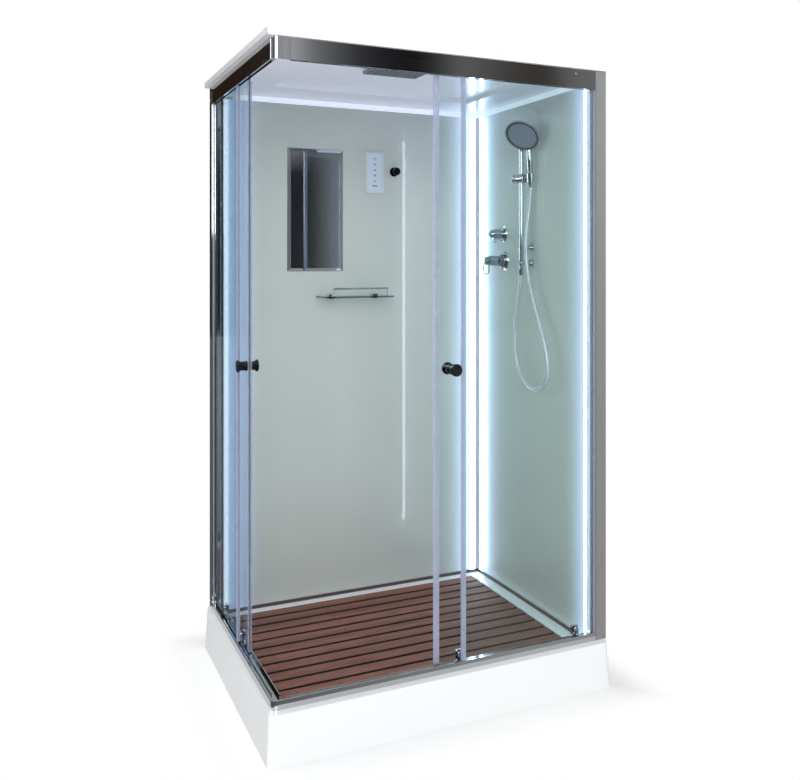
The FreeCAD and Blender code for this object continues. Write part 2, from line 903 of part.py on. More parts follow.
# Fixed panes: 6 mm glass set in the grooves of both rails and of the post.
def make_fixed_panes():
    seals = []
    g0 = s.pane_depth - s.glass_thick / 2
    g1 = s.pane_depth + s.glass_thick / 2
    z0 = rim_z + s.sill_groove_floor
    z1 = header_z + s.groove_height
    for side, post, width in ((FRONT, post_x, s.fixed_front_width), (LEFT, post_y, s.fixed_left_width)):
        edge = post - width
        end = post + s.post_groove_depth
        keep(f"fixed_glass_{side.name}", side.block(f"fixed_glass_{side.name}", edge, end, g0, g1, z0, z1))
        low = rim_z + s.sill_height
        t0 = s.pane_depth - s.edge_strip_thick / 2
        t1 = s.pane_depth + s.edge_strip_thick / 2
        lip = s.seal_grip - s.edge_strip
        e0 = edge + lip / 2
        strip = side.block("edge_strip", e0, e0 + s.edge_strip, t0, t1, low, header_z)
        slot = side.block(
            "edge_slot", edge, edge + s.edge_strip, g0, g1, low - s.overrun, header_z + s.overrun
        )
        seals.append(cut("edge_seal", strip, slot))
        stop = post - s.post_lip
        gasket = side.block(
            "post_gasket", stop - s.post_gasket, stop, g0 - s.groove_cheek, g0, low, header_z
        )
        seals.append(gasket)
    keep("fixed_glass_seals", group("fixed_glass_seals", *seals))


def hanger_places(side, lead, width):
    first = s.front_hanger_inset if side is FRONT else s.left_hanger_inset
    return (lead + first, lead + width - s.hanger_last)


def knob_place(side, lead):
    return lead + (s.front_knob_inset if side is FRONT else s.left_knob_inset)


def door_holes(side, lead, width):
    """Where a door's fittings go through its glass, as (place along the side, height, radius)."""
    return [(knob_place(side, lead), s.knob_height, s.knob_bolt)] + [
        (u, z, s.hanger_bolt) for u in hanger_places(side, lead, width) for z in (hanger_z, s.guide_height)
    ]


hanger_z = header_z + s.header_track_height + s.header_wall + s.track_bead + s.wheel_groove + s.wheel_run_gap
guide_z = rim_z + s.sill_base + s.guide_wheel_radius + s.guide_floor_gap


# Doors: 6 mm glass with a magnetic seal on the leading edge and a lip seal on the trailing one.
def make_door(side, lead, width):
    name = side.name
    d0 = s.door_depth - s.glass_thick / 2
    d1 = s.door_depth + s.glass_thick / 2
    z0 = rim_z + s.door_lift
    z1 = s.frame_top - s.door_top_gap
    glass0 = lead + s.seal_width
    glass1 = lead + width - s.lip_seal_width
    pane = side.block("door_pane", glass0, glass1, d0, d1, z0, z1)
    holes = [
        side.rod("pane_hole", u, d0 - s.overrun, z, radius + s.bolt_gap, s.glass_thick + s.overrun * 2)
        for u, z, radius in door_holes(side, lead, width)
    ]
    keep(f"{name}_door_glass", cut("door_glass", pane, *holes))

    t0 = s.door_depth - s.seal_thick / 2
    t1 = s.door_depth + s.seal_thick / 2
    base = rim_z + s.sill_height
    lead_bar = side.block("lead_bar", lead, glass0 + s.seal_grip, t0, t1, base, header_z)
    lead_slot = side.block("lead_slot", glass0, glass1, d0, d1, z0, z1)
    trail_bar = side.block("trail_bar", glass1 - s.seal_grip, lead + width, t0, t1, base, header_z)
    seals = (cut("lead_seal", lead_bar, lead_slot), cut("trail_seal", trail_bar, lead_slot))
    keep(f"{name}_door_seals", group("door_seals", *seals))
    make_knob(side, lead, d0, d1)
    make_carriers(side, lead, width, d0, d1)


# Knob: a turned double knob, one half on each face of the door, on a bolt through the glass.
def make_knob(side, lead, d0, d1):
    u = knob_place(side, lead)
    r = s.knob_radius
    neck = s.knob_stem
    foot = s.knob_foot
    thick = d1 - d0
    outer = d0 - s.knob_out
    bevel = s.knob_bevel
    glass = s.knob_out
    back = glass + thick
    end = back + s.knob_in
    outline = [
        (0, 0), (r - bevel, 0), (r, bevel), (r, s.knob_cap - bevel), (r - bevel, s.knob_cap),
        (neck, s.knob_cap + bevel), (neck, glass - s.knob_collar - bevel), (foot, glass - s.knob_collar),
        (foot, glass),
        (s.knob_bolt, glass), (s.knob_bolt, back), (foot, back), (foot, back + s.knob_collar),
        (neck, back + s.knob_collar + bevel), (neck, end - s.knob_cap - bevel), (r - bevel, end - s.knob_cap),
        (r, end - s.knob_cap + bevel), (r, end - bevel), (r - bevel, end), (0, end),
    ]
    keep(f"{side.name}_door_knob", side.turned("door_knob", outline, u, outer, s.knob_height))


# Carriers: bolts through the glass. The upper ones carry the hanger wheels on the track,
# the lower ones hold the guide wheels in the sill.
def make_carriers(side, lead, width, d0, d1):
    carriers = []
    wheel0 = s.track_bead_depth - s.wheel_thick / 2
    wheel1 = s.track_bead_depth + s.wheel_thick / 2
    guide0 = d1 + s.guide_arm + s.wheel_run_gap
    guide1 = guide0 + s.guide_wheel_thick
    cap0 = d0 - s.hanger_cap_thick
    for tag, u in zip("ab", hanger_places(side, lead, width)):
        cap = side.rod("hanger_cap", u, cap0, hanger_z, s.hanger_cap, s.hanger_cap_thick)
        bolt = side.rod("hanger_bolt", u, cap0, hanger_z, s.hanger_bolt, d1 - cap0)
        collar = side.rod("hanger_collar", u, d1, hanger_z, s.hanger_cap, s.hanger_collar)
        axle = side.rod("hanger_axle", u, cap0, hanger_z, s.wheel_axle, wheel1 + s.wheel_run_gap - cap0)
        head = side.rod(
            "hanger_head", u, wheel1 + s.wheel_run_gap, hanger_z, s.axle_head, s.axle_head_thick
        )
        carriers.append(fuse("hanger", cap, bolt, collar, axle, head))

        half = s.wheel_thick / 2
        g = s.wheel_groove_width / 2
        bore = s.wheel_axle + s.wheel_play
        outline = [
            (bore, 0), (s.wheel_radius, 0), (s.wheel_radius, half - g), (s.wheel_groove, half - g),
            (s.wheel_groove, half + g), (s.wheel_radius, half + g), (s.wheel_radius, s.wheel_thick),
            (bore, s.wheel_thick),
        ]
        wheel = side.turned("hanger_wheel", outline, u, wheel0, hanger_z)
        keep(f"{side.name}_hanger_wheel_{tag}", wheel)

        plate = side.rod("guide_cap", u, cap0, s.guide_height, s.guide_cap, s.hanger_cap_thick)
        pin = side.rod("guide_bolt", u, cap0, s.guide_height, s.hanger_bolt, d1 - cap0)
        half_body = s.guide_body_width / 2
        body0 = guide_z + s.guide_wheel_radius + s.guide_body_gap
        body = side.block(
            "guide_body", u - half_body, u + half_body, d1, d1 + s.guide_body_depth, body0,
            body0 + s.guide_body_height,
        )
        arm = side.block(
            "guide_arm", u - half_body / 2, u + half_body / 2, d1, d1 + s.guide_arm,
            guide_z - s.wheel_axle * 2, body0 + s.guide_floor_gap,
        )
        stub = side.rod("guide_axle", u, d1, guide_z, s.wheel_axle, guide1 + s.wheel_run_gap - d1)
        cover = side.rod("guide_head", u, guide1 + s.wheel_run_gap, guide_z, s.axle_head, s.axle_head_thick)
        carriers.append(fuse("guide", plate, pin, body, arm, stub, cover))
        g_outline = [
            (bore, 0), (s.guide_wheel_radius, 0), (s.guide_wheel_radius, s.guide_wheel_thick),
            (bore, s.guide_wheel_thick),
        ]
        roller = side.turned("guide_wheel", g_outline, u, guide0, guide_z)
        keep(f"{side.name}_guide_wheel_{tag}", roller)
    keep(f"{side.name}_door_carriers", group("door_carriers", *carriers))


# Walls: back-painted glass panels on extruded base trims, stiffened from behind.
def make_walls():
    trim_top = ledge_z + s.wall_trim_height
    top = s.frame_top
    back = block(
        "back_wall", rim_x, wall_x + s.wall_thick, wall_y, wall_y + s.wall_thick, trim_top, top
    )
    keep("back_wall", back)
    panel = block("right_panel", wall_x, wall_x + s.wall_thick, rim_y, wall_y, trim_top, top)
    holes = []
    for y, z in ((s.valve_y, s.mixer_z), (s.diverter_y, s.diverter_z)):
        radius = s.cartridge + s.turn_gap
        holes.append(rod("valve_hole", "X", wall_x - s.overrun, y, z, radius, s.overrun * 3))
    holes.append(
        rod(
            "outlet_hole", "X", wall_x - s.overrun, s.bar_y, s.outlet_z, s.outlet_arm + s.turn_gap,
            s.overrun * 3,
        )
    )
    keep("right_wall", cut("right_wall", panel, *holes))
    studs = []
    x_spots = (rim_x, rim_x + (wall_x - rim_x) / 3, rim_x + (wall_x - rim_x) * 2 / 3, wall_x - s.stud_width)
    y0 = wall_y + s.wall_thick
    for x in x_spots:
        studs.append(block("back_stud", x, x + s.stud_width, y0, y0 + s.stud_depth, ledge_z, top))
    x0 = wall_x + s.wall_thick
    for y in (rim_y, s.middle_stud_y, wall_y - s.stud_width):
        studs.append(block("right_stud", x0, x0 + s.stud_depth, y, y + s.stud_width, ledge_z, top))
    keep("wall_studs", group("wall_studs", *studs))
    proud = s.wall_trim_proud
    trims = (
        block("trim_back", rim_x, wall_x, wall_y - proud, wall_y + s.wall_thick, ledge_z, trim_top),
        block("trim_right", wall_x - proud, wall_x + s.wall_thick, rim_y, wall_y - proud, ledge_z, trim_top),
    )
    leg = s.corner_strip
    strip = extrusion(
        "corner_strip", "XY_Plane", [[(0, 0), (-leg, 0), (-leg / 2, -leg / 2), (0, -leg)]],
        s.cove_bottom - trim_top,
    )
    put(strip, wall_x, wall_y, trim_top)
    keep("wall_trims", group("wall_trims", *trims, strip))


# Light strips: opal diffusers down the corners and round the top of both walls.
def make_lights():
    z0 = ledge_z + s.wall_trim_height
    z1 = s.cove_bottom
    w = s.light_width
    face_y = wall_y - s.light_thick
    face_x = wall_x - s.light_thick
    near = s.corner_strip + s.light_gap
    strips = (
        block("light_back_right", wall_x - near - w, wall_x - near, face_y, wall_y, z0, z1),
        block("light_back_left", rim_x + s.light_gap, rim_x + s.light_gap + w, face_y, wall_y, z0, z1),
        block("light_right_back", face_x, wall_x, wall_y - near - w, wall_y - near, z0, z1),
        block("light_right_front", face_x, wall_x, rim_y + s.light_gap, rim_y + s.light_gap + w, z0, z1),
        block("cove_back", rim_x, wall_x, face_y, wall_y, z1, s.cove_top),
        block("cove_right", face_x, wall_x, rim_y, face_y, z1, s.cove_top),
    )
    keep("light_diffusers", group("light_diffusers", *strips))


# Roof: one moulding, with a rim that sits on rails and walls and a ceiling that drops inside them.
def make_roof():
    x0 = left_face - s.roof_overhang_left
    y0 = front_face - s.roof_overhang_front
    rim = block("roof_rim", x0, half_x, y0, half_y, s.frame_top, s.frame_top + s.roof_rim)
    in_x = left_face + s.header_depth
    in_y = front_face + s.header_depth
    drop = block("ceiling", in_x, wall_x, in_y, wall_y, s.cove_top, s.frame_top + s.roof_rim / 2)
    low = (
        in_x + s.recess_left, wall_x - s.recess_right, in_y + s.recess_front, wall_y - s.recess_back,
    )
    high = (low[0] + s.recess_slope, low[1] - s.recess_slope, low[2] + s.recess_slope, low[3] - s.recess_slope)
    recess = frustum("ceiling_recess", low, high, s.cove_top, recess_z)
    inset = s.roof_top_inset
    well = block(
        "roof_well", in_x + inset, wall_x - inset, in_y + inset, wall_y - inset, recess_z + s.roof_skin,
        s.frame_top + s.roof_rim + s.overrun,
    )
    stem = rod(
        "roof_stem_hole", "Z", s.rain_x, s.rain_y, s.cove_top - s.overrun, s.rain_stem + s.turn_gap,
        s.roof_rim * 3,
    )
    pipe = rod(
        "roof_pipe_hole", "Z", wall_x + s.pipe_depth, s.diverter_y, s.frame_top - s.overrun,
        s.pipe_radius + s.turn_gap, s.roof_rim + s.overrun * 2,
    )
    keep("roof", cut("roof", fuse("roof_solid", rim, drop), recess, well, stem, pipe))


# Overhead shower: a square plate under the ceiling on a stem that goes up through the roof.
def make_rain_head():
    half = s.rain_size / 2
    z1 = recess_z
    z0 = z1 - s.rain_thick
    plate = block(
        "rain_plate", s.rain_x - half, s.rain_x + half, s.rain_y - half, s.rain_y + half,
        z0 - s.rain_plate_drop, z1 - s.rain_plate_drop,
    )
    plate = rounded("rain_round", plate, s.rain_round, lambda edge: runs_along(edge, Vector(0, 0, 1)))
    neck = rod("rain_neck", "Z", s.rain_x, s.rain_y, z0, s.rain_neck, s.rain_thick)
    stem = rod("rain_stem", "Z", s.rain_x, s.rain_y, z0, s.rain_stem, s.rain_thick + s.rain_stem_length)
    keep("rain_head", fuse("rain_head", plate, neck, stem))


# Power supply: a closed case for the lights and the panel, on four feet in the roof's well.
def make_power_supply():
    z0 = recess_z + s.roof_skin
    case = block(
        "case", s.supply_x, s.supply_x + s.supply_length, s.supply_y, s.supply_y + s.supply_width, z0,
        z0 + s.supply_height,
    )
    case = rounded("case_round", case, s.supply_foot_thick, lambda edge: runs_along(edge, Vector(0, 0, 1)))
    foot = block(
        "case_foot", s.supply_x - s.supply_foot, s.supply_x + s.supply_length + s.supply_foot,
        s.supply_y + s.supply_foot, s.supply_y + s.supply_width - s.supply_foot, z0,
        z0 + s.supply_foot_thick,
    )
    keep("power_supply", fuse("power_supply", case, foot))


# Back wall fittings: a bevelled mirror, a touch panel, a round hook and a glass shelf.
def make_mirror():
    x1 = s.mirror_left + s.mirror_width
    z1 = s.mirror_bottom + s.mirror_height
    step = s.mirror_thick - s.mirror_edge
    y0 = wall_y - s.mirror_thick
    b = s.mirror_bevel
    back = block("mirror_back", s.mirror_left, x1, wall_y - s.mirror_edge, wall_y, s.mirror_bottom, z1)
    bevel = doc.addObject("Part::Wedge", unique("mirror_bevel"))
    bind(bevel, Xmin=0, Zmin=0, Ymin=0, Xmax=s.mirror_width, Zmax=s.mirror_height, Ymax=step)
    bind(bevel, X2min=b, X2max=s.mirror_width - b, Z2min=b, Z2max=s.mirror_height - b)
    turn = Rotation(Vector(0, 0, 1), 180)
    put(bevel, x1, y0 + step, s.mirror_bottom, turn)
    keep("mirror", fuse("mirror", back, bevel))


def make_panel():
    x1 = s.panel_left + s.panel_width
    z1 = s.panel_bottom + s.panel_height
    y0 = wall_y - s.panel_thick
    case = block("panel_case", s.panel_left, x1, y0, wall_y, s.panel_bottom, z1)

    def front_edge(edge):
        return all(abs(corner.Point.y - float(y0)) < SAME_PLACE for corner in edge.Vertexes)

    case = rounded("panel_round", case, s.panel_round, front_edge)
    edge = s.panel_border
    field = block(
        "panel_field", s.panel_left + edge, x1 - edge, y0 - s.overrun, y0 + s.panel_recess,
        s.panel_bottom + edge, z1 - edge,
    )
    keep("control_panel", cut("control_panel", case, field))


def make_hook():
    start = s.hook_reach - s.hook_head_thick
    bulge = s.hook_bevel
    outline = [
        (0, 0), (s.hook_plate, 0), (s.hook_plate - s.hook_plate_bevel, s.hook_plate_thick),
        (s.hook_neck, s.hook_plate_thick), (s.hook_neck, start), (s.hook_head - bulge, start),
        (s.hook_head, start + bulge), (s.hook_head, s.hook_reach - bulge), (s.hook_head - bulge, s.hook_reach),
        (0, s.hook_reach),
    ]
    keep("robe_hook", put(turned("robe_hook", outline), s.hook_x, wall_y, s.hook_z, ALONG["-Y"]))


def make_shelf():
    x0 = s.shelf_left
    x1 = x0 + s.shelf_width
    y0 = wall_y - s.shelf_depth
    z0 = s.shelf_z
    z1 = z0 + s.shelf_thick
    glass = block("shelf_blank", x0, x1, y0, wall_y - s.shelf_back_gap, z0, z1)

    def front_corner(edge):
        return runs_along(edge, Vector(0, 0, 1)) and abs(middle(edge).y - float(y0)) < float(s.shelf_round)

    keep("shelf_glass", rounded("shelf_glass", glass, s.shelf_round, front_corner))
    clamps = []
    half = s.clamp_width / 2
    low = z0 - (s.clamp_height - s.shelf_thick) / 2
    for x in (x0 + s.clamp_inset, x1 - s.clamp_inset):
        jaw = block(
            "clamp_jaw", x - half, x + half, wall_y - s.clamp_depth, wall_y, low, low + s.clamp_height
        )
        slot = block(
            "clamp_slot", x - s.clamp_width, x + s.clamp_width, y0, wall_y - s.shelf_back_gap, z0, z1
        )
        clamps.append(cut("shelf_clamp", jaw, slot))
    keep("shelf_clamps", group("shelf_clamps", *clamps))
    rail_y = y0 + s.guard_setback
    rail_z = z1 + s.guard_height
    g0 = s.guard_left
    g1 = g0 + s.guard_width
    bar = rod("guard_bar", "X", g0, rail_y, rail_z, s.guard_radius, s.guard_width)
    pieces = [bar, ball("guard_end", g0, rail_y, rail_z, s.guard_radius)]
    pieces.append(ball("guard_end", g1, rail_y, rail_z, s.guard_radius))
    for x in (g0 + s.guard_post_inset, g1 - s.guard_post_inset):
        pieces.append(rod("guard_post", "Z", x, rail_y, z1, s.guard_post, s.guard_height))
        pieces.append(rod("guard_foot", "Z", x, rail_y, z1, s.guard_foot, s.guard_foot_thick))
    keep("shelf_rail", fuse("shelf_rail", *pieces))


# Riser rail: a chromed tube held off the wall by two brackets, above the hose outlet.
def make_riser():
    x = bar_x
    y = s.bar_y
    length = s.bar_top - s.bar_bottom
    tube = rod("bar", "Z", x, y, s.bar_bottom, s.bar_radius, length)
    inner = s.bar_radius - s.bar_wall
    bore = rod("bar_bore", "Z", x, y, s.bar_bottom - s.overrun, inner, length + s.overrun * 2)
    keep("riser_bar", cut("riser_bar", tube, bore))
    fittings = []
    reach = wall_x - x
    for z in (s.bracket_low, s.bracket_high):
        plate = rod("bracket_plate", "-X", wall_x, y, z, s.bracket_plate, s.bracket_plate_thick)
        arm = rod("bracket_arm", "-X", wall_x, y, z, s.bracket_arm, reach)
        half = s.bracket_sleeve_height / 2
        sleeve = rod("bracket_sleeve", "Z", x, y, z - half, s.bracket_sleeve, s.bracket_sleeve_height)
        reach_z = s.bracket_sleeve_height
        hole = rod("bracket_hole", "Z", x, y, z - reach_z, s.bar_radius, reach_z * 2)
        fittings.append(cut("bracket", fuse("bracket_solid", plate, arm, sleeve), hole))
    z = s.outlet_z
    plate = rod("outlet_plate", "-X", wall_x, y, z, s.bracket_plate, s.bracket_plate_thick)
    inside = wall_x + s.pipe_depth + s.outlet_arm
    arm = rod("outlet_arm", "-X", inside, y, z, s.outlet_arm, inside - x)
    elbow = ball("outlet_elbow", x, y, z, s.outlet_ball)
    nozzle = rod("outlet_nozzle", "Z", x, y, s.outlet_end, s.outlet_nozzle, z - s.outlet_end)
    boss = rod("outlet_boss", "Z", wall_x + s.pipe_depth, y, z, s.outlet_boss_radius, s.outlet_boss)
    fittings.append(fuse("hose_outlet", plate, arm, elbow, nozzle, boss))
    keep("wall_fittings", group("wall_fittings", *fittings))


# Slider: grips the bar and carries the pivoting holder that the hand shower drops into.
# Its own X points from the bar to the holder and its -Y is the way the spray faces.
SLIDER_TURN = Rotation(Vector(0, 0, 1), float(s.slider_turn))
holder_shift = SLIDER_TURN.multVec(Vector(float(s.holder_offset), 0, 0))
holder_spot = (bar_x + holder_shift.x, s.bar_y + holder_shift.y, s.slider_z)
HOLDER_TURN = SLIDER_TURN.multiply(Rotation(Vector(1, 0, 0), float(s.hand_lean)))


def make_slider():
    barrel = rod("slider_barrel", "X", -s.slider_back, 0, 0, s.slider_radius, s.slider_back + s.slider_front)

    def end_edge(edge):
        return edge.BoundBox.XLength < SAME_PLACE

    barrel = rounded("slider_round", barrel, s.slider_round, end_edge)
    knob = rod("slider_knob", "-X", -s.slider_back, 0, 0, s.slider_knob, s.slider_knob_length)
    knob = rounded("slider_knob_round", knob, s.slider_round, end_edge)
    pin = rod("slider_pin", "X", 0, 0, 0, s.holder_pin, s.holder_offset - s.holder_outer - s.turn_gap)
    hole = rod(
        "slider_hole", "Z", 0, 0, -s.slider_radius * 2, s.bar_radius + s.slider_play, s.slider_radius * 4
    )
    slider = cut("slider", fuse("slider_solid", barrel, knob, pin), hole)
    keep("slider", put(slider, bar_x, s.bar_y, s.slider_z, SLIDER_TURN))


def make_hand_shower():
    half = s.holder_height / 2
    r0 = s.cone_bottom
    r1 = s.cone_top
    gap = s.holder_gap
    ring = turned(
        "holder_ring",
        [(r0 + gap, -half), (s.holder_outer - gap, -half), (s.holder_outer, 0), (s.holder_outer - gap, half),
         (r1 + gap, half)],
    )
    keep("holder", put(ring, *holder_spot, HOLDER_TURN))

    grip = turned(
        "grip",
        [(0, -s.cone_reach), (r0 - gap, -s.cone_reach), (r0, -half), (r1, half),
         (s.hand_collar, half + gap), (s.hand_collar, half + s.hand_collar_height),
         (r1, half + s.hand_collar_height * 2), (s.grip_radius, s.grip_top / 2), (r1, s.grip_top),
         (0, s.grip_top)],
    )
    crown = ball("grip_crown", 0, 0, s.grip_top, r1)
    r = s.head_radius
    dome_shares = [(0, -1), (0.25, -0.95), (0.55, -0.6), (0.85, -0.22), (1, -0.05)]
    face_gap = s.face_radius + s.face_gap
    shell = turned(
        "head_shell",
        shaped(r, s.head_dome, dome_shares)
        + [(r, s.head_rim), (face_gap, s.head_rim), (face_gap, s.face_gap), (0, s.face_gap)],
    )
    tilt = Rotation(Vector(1, 0, 0), 90 + float(s.head_tilt))
    put(shell, 0, -s.head_forward, s.head_height, tilt)
    pocket = turned(
        "face_pocket", [(0, s.face_gap), (face_gap, s.face_gap), (face_gap, s.head_dome), (0, s.head_dome)]
    )
    put(pocket, 0, -s.head_forward, s.head_height, tilt)
    hand = cut("hand_shower", fuse("hand_solid", grip, crown, shell), pocket)
    keep("hand_shower", put(hand, *holder_spot, HOLDER_TURN))
    face = turned(
        "face_plate",
        [(0, s.face_gap), (s.face_radius, s.face_gap), (s.face_radius, s.face_thick),
         (s.face_radius - s.face_thick, s.face_thick + s.face_gap), (0, s.face_thick + s.face_gap)],
    )
    centre = HOLDER_TURN.multVec(Vector(0, -float(s.head_forward), float(s.head_height)))
    spot = [base + shift for base, shift in zip(holder_spot, centre)]
    keep("spray_face", put(face, *spot, HOLDER_TURN.multiply(tilt)))


# Mixer and diverter: a brass body behind the wall, with two plates, a lever and a knob in front of it.
def make_valves():
    x = wall_x + s.pipe_depth
    spread = s.valve_spread
    bar = rod("valve_bar", "Y", x, s.valve_y - spread, s.mixer_z, s.valve_bar, spread * 2)
    rise = s.diverter_z - s.mixer_z + s.valve_boss_reach
    column = rod("valve_column", "Z", x, s.diverter_y, s.mixer_z, s.valve_column, rise)
    boss_z = s.outlet_z + s.hand_pipe_rise
    boss = rod("valve_boss", "-Y", x, s.diverter_y, boss_z, s.valve_boss, s.valve_boss_reach)
    parts = [bar, column, boss]
    for y in (s.valve_y - s.inlet_offset, s.valve_y + s.inlet_offset):
        parts.append(rod("inlet_collar", "X", x, y, s.mixer_z, s.inlet_collar, s.inlet_collar_reach))
        parts.append(rod("inlet", "X", x, y, s.mixer_z, s.inlet_radius, s.inlet_reach))
    for y, z in ((s.valve_y, s.mixer_z), (s.diverter_y, s.diverter_z)):
        reach = x - wall_x + s.plate_thick
        parts.append(rod("cartridge", "-X", x, y, z, s.cartridge, reach))
    keep("valve_body", fuse("valve_body", *parts))

    plates = []
    hole = s.cartridge + s.turn_gap
    for y, z, r in ((s.valve_y, s.mixer_z, s.mixer_plate), (s.diverter_y, s.diverter_z, s.diverter_plate)):
        outline = [
            (hole, 0), (r, 0), (r - s.plate_thick / 2, s.plate_thick), (hole, s.plate_thick),
        ]
        plates.append(put(turned("valve_plate", outline), wall_x, y, z, ALONG["-X"]))
    keep("valve_plates", group("valve_plates", *plates))

    front = wall_x - s.plate_thick - s.turn_gap
    length = s.mixer_cap_length
    cap_shares = [
        (0, 0), (0.96, 0), (1, 0.08), (1, 0.5), (0.96, 0.56), (0.8, 0.6), (0.8, 0.94), (0.75, 1), (0, 1),
    ]
    cap = turned("mixer_cap", shaped(s.mixer_cap, length, cap_shares))
    keep("mixer_cap", put(cap, front, s.valve_y, s.mixer_z, ALONG["-X"]))
    pivot = front - length - s.turn_gap - s.lever_joint
    joint = ball("lever_joint", pivot, s.valve_y, s.mixer_z, s.lever_joint)
    drum_shares = [(0, 0), (0.95, 0), (1, 0.04), (1, 0.86), (0.93, 0.97), (0.84, 1), (0, 1)]
    drum = turned("lever_drum", shaped(s.lever_drum, s.lever_reach, drum_shares))
    put(drum, pivot, s.valve_y, s.mixer_z, ALONG["-X"])
    pivot_y = s.valve_y - s.lever_pivot_reach
    pin = rod("lever_pin", "Y", pivot, pivot_y, s.mixer_z, s.lever_pivot, s.lever_pivot_reach * 2)
    loop = make_ring(pivot - s.lever_reach, s.valve_y, s.mixer_z - s.ring_drop)
    keep("mixer_lever", fuse("mixer_lever", joint, pin, drum, loop))

    d_len = s.diverter_knob_length
    d_col = s.diverter_collar_length
    outline = [(0, 0), (s.diverter_collar, 0), (s.diverter_collar, d_col)]
    knob_shares = [(1, 0), (1, 0.75), (0.9, 0.9), (0.6, 1), (0, 1)]
    outline += [(u, d_col + v) for u, v in shaped(s.diverter_knob, d_len, knob_shares)]
    body = put(turned("diverter_turn", outline), front, s.diverter_y, s.diverter_z, ALONG["-X"])
    pin_x = front - d_col - d_len / 2
    pin = rod("diverter_pin", "-Z", pin_x, s.diverter_y, s.diverter_z, s.lever_pin, s.lever_pin_length)
    tip = ball("diverter_tip", pin_x, s.diverter_y, s.diverter_z - s.lever_pin_length, s.lever_pin)
    keep("diverter_knob", fuse("diverter_knob", body, pin, tip))


def slot_plate(x, y, z, width, height, thick):
    """A plate with half-round ends, standing square to Y about a middle point."""
    radius = width / 2
    straight = height / 2 - radius
    ends = [
        rod("slot_end", "Y", x, y - thick / 2, end_z, radius, thick)
        for end_z in (z - straight, z + straight)
    ]
    web = block(
        "slot_web", x - radius, x + radius, y - thick / 2, y + thick / 2, z - straight, z + straight
    )
    return fuse("slot_plate", web, *ends)


def make_ring(x, y, z):
    """The lever's loop: a slot-shaped ring of round section, hanging square to the wall."""
    wire = s.ring_wire * 2
    outer = slot_plate(x, y, z, s.ring_width, s.ring_height, wire)
    inner = slot_plate(x, y, z, s.ring_width - wire * 2, s.ring_height - wire * 2, wire * 2)
    ring = cut("ring_flat", outer, inner)
    return rounded("ring", ring, s.ring_round, lambda edge: edge.BoundBox.YLength < SAME_PLACE)


def rounded_path(points, share=0.45, bend=None):
    """Straight runs joined by tangent arcs. Returns the wire, its length and the arcs' radii."""
    edges = []
    radii = []
    start = points[0]
    for before, here, after in zip(points, points[1:], points[2:]):
        way_in = (here - before).normalize()
        way_out = (after - here).normalize()
        half = way_in.getAngle(way_out) / 2
        shorter = min((here - before).Length, (after - here).Length)
        back = share * shorter if bend is None else bend * math.tan(half)
        radius = back / math.tan(half)
        first = here - way_in * back
        last = here + way_out * back
        inward = (way_out - way_in).normalize()
        centre = here + inward * (radius / math.cos(half))
        edges.append(Part.LineSegment(start, first).toShape())
        edges.append(Part.Arc(first, centre - inward * radius, last).toShape())
        radii.append(radius)
        start = last
    edges.append(Part.LineSegment(start, points[-1]).toShape())
    wire = Part.Wire(edges)
    return wire, wire.Length, radii


def tube(name, points, radius, bend=None):
    """A round tube along a rounded path, with its volume set against section times length."""
    wire, length, radii = rounded_path(points, bend=bend)
    start = (points[1] - points[0]).normalize()
    profile = Part.Wire([Part.makeCircle(radius, points[0], start)])
    shape = wire.makePipeShell([profile], True, True)
    obj = doc.addObject("Part::Feature", unique(name))
    obj.Shape = shape
    ratio = shape.Volume / (math.pi * radius * radius * length)
    print(f"{name}: length {length:.0f} mm, tightest bend {min(radii):.0f} mm, volume ratio {ratio:.4f}")
    return obj


# Supply pipes: one from the diverter up and over the roof to the overhead shower, one to the hose outlet.
def make_supply_pipes():
    r = float(s.pipe_radius)
    bend = float(s.pipe_bend)
    x = float(wall_x + s.pipe_depth)
    y = float(s.diverter_y)
    top = float(s.frame_top + s.roof_rim + s.roof_pipe_rise)
    rain_x = float(s.rain_x)
    rain_y = float(s.rain_y)
    stem_top = recess_z + s.rain_stem_length
    rain = tube(
        "rain_pipe",
        [
            Vector(x, y, float(s.diverter_z + s.valve_boss_reach)), Vector(x, y, top),
            Vector(rain_x, y, top),
            Vector(rain_x, rain_y + float(s.rain_stem), top),
        ],
        r, bend,
    )
    union_z = recess_z + s.rain_union_drop
    union_top = s.frame_top + s.roof_rim + s.roof_pipe_rise + s.pipe_radius
    union = rod("rain_union", "Z", s.rain_x, s.rain_y, union_z, s.rain_neck, union_top - union_z)
    bore = rod("union_bore", "Z", s.rain_x, s.rain_y, s.cove_top, s.rain_stem, stem_top - s.cove_top)
    elbow = cut("rain_elbow", union, bore)
    z = float(s.outlet_z)
    low = z + float(s.hand_pipe_rise)
    hand = tube(
        "hand_pipe",
        [
            Vector(x, y - float(s.valve_boss_reach), low), Vector(x, float(s.bar_y), low),
            Vector(x, float(s.bar_y), z + float(s.outlet_boss)),
        ],
        r, bend,
    )
    keep("supply_pipes", group("supply_pipes", fuse("rain_line", rain, elbow), hand))


# Where the hose hangs: its places from the riser's foot on the floor below it, read from the picture.
HOSE_SAG = (
    (20, -24, 1638), (11, -19, 1562), (5, -24, 1484), (1, -45, 1400),
    (-2, -79, 1318), (-4, -121, 1240), (-6, -161, 1166), (-7, -188, 1100),
    (-7, -192, 1038), (-7, -165, 988), (-7, -109, 966), (-7, -45, 986),
    (-7, 6, 1032), (-6, 34, 1100), (-5, 37, 1174), (-4, 27, 1250),
    (-2, 11, 1318),
)


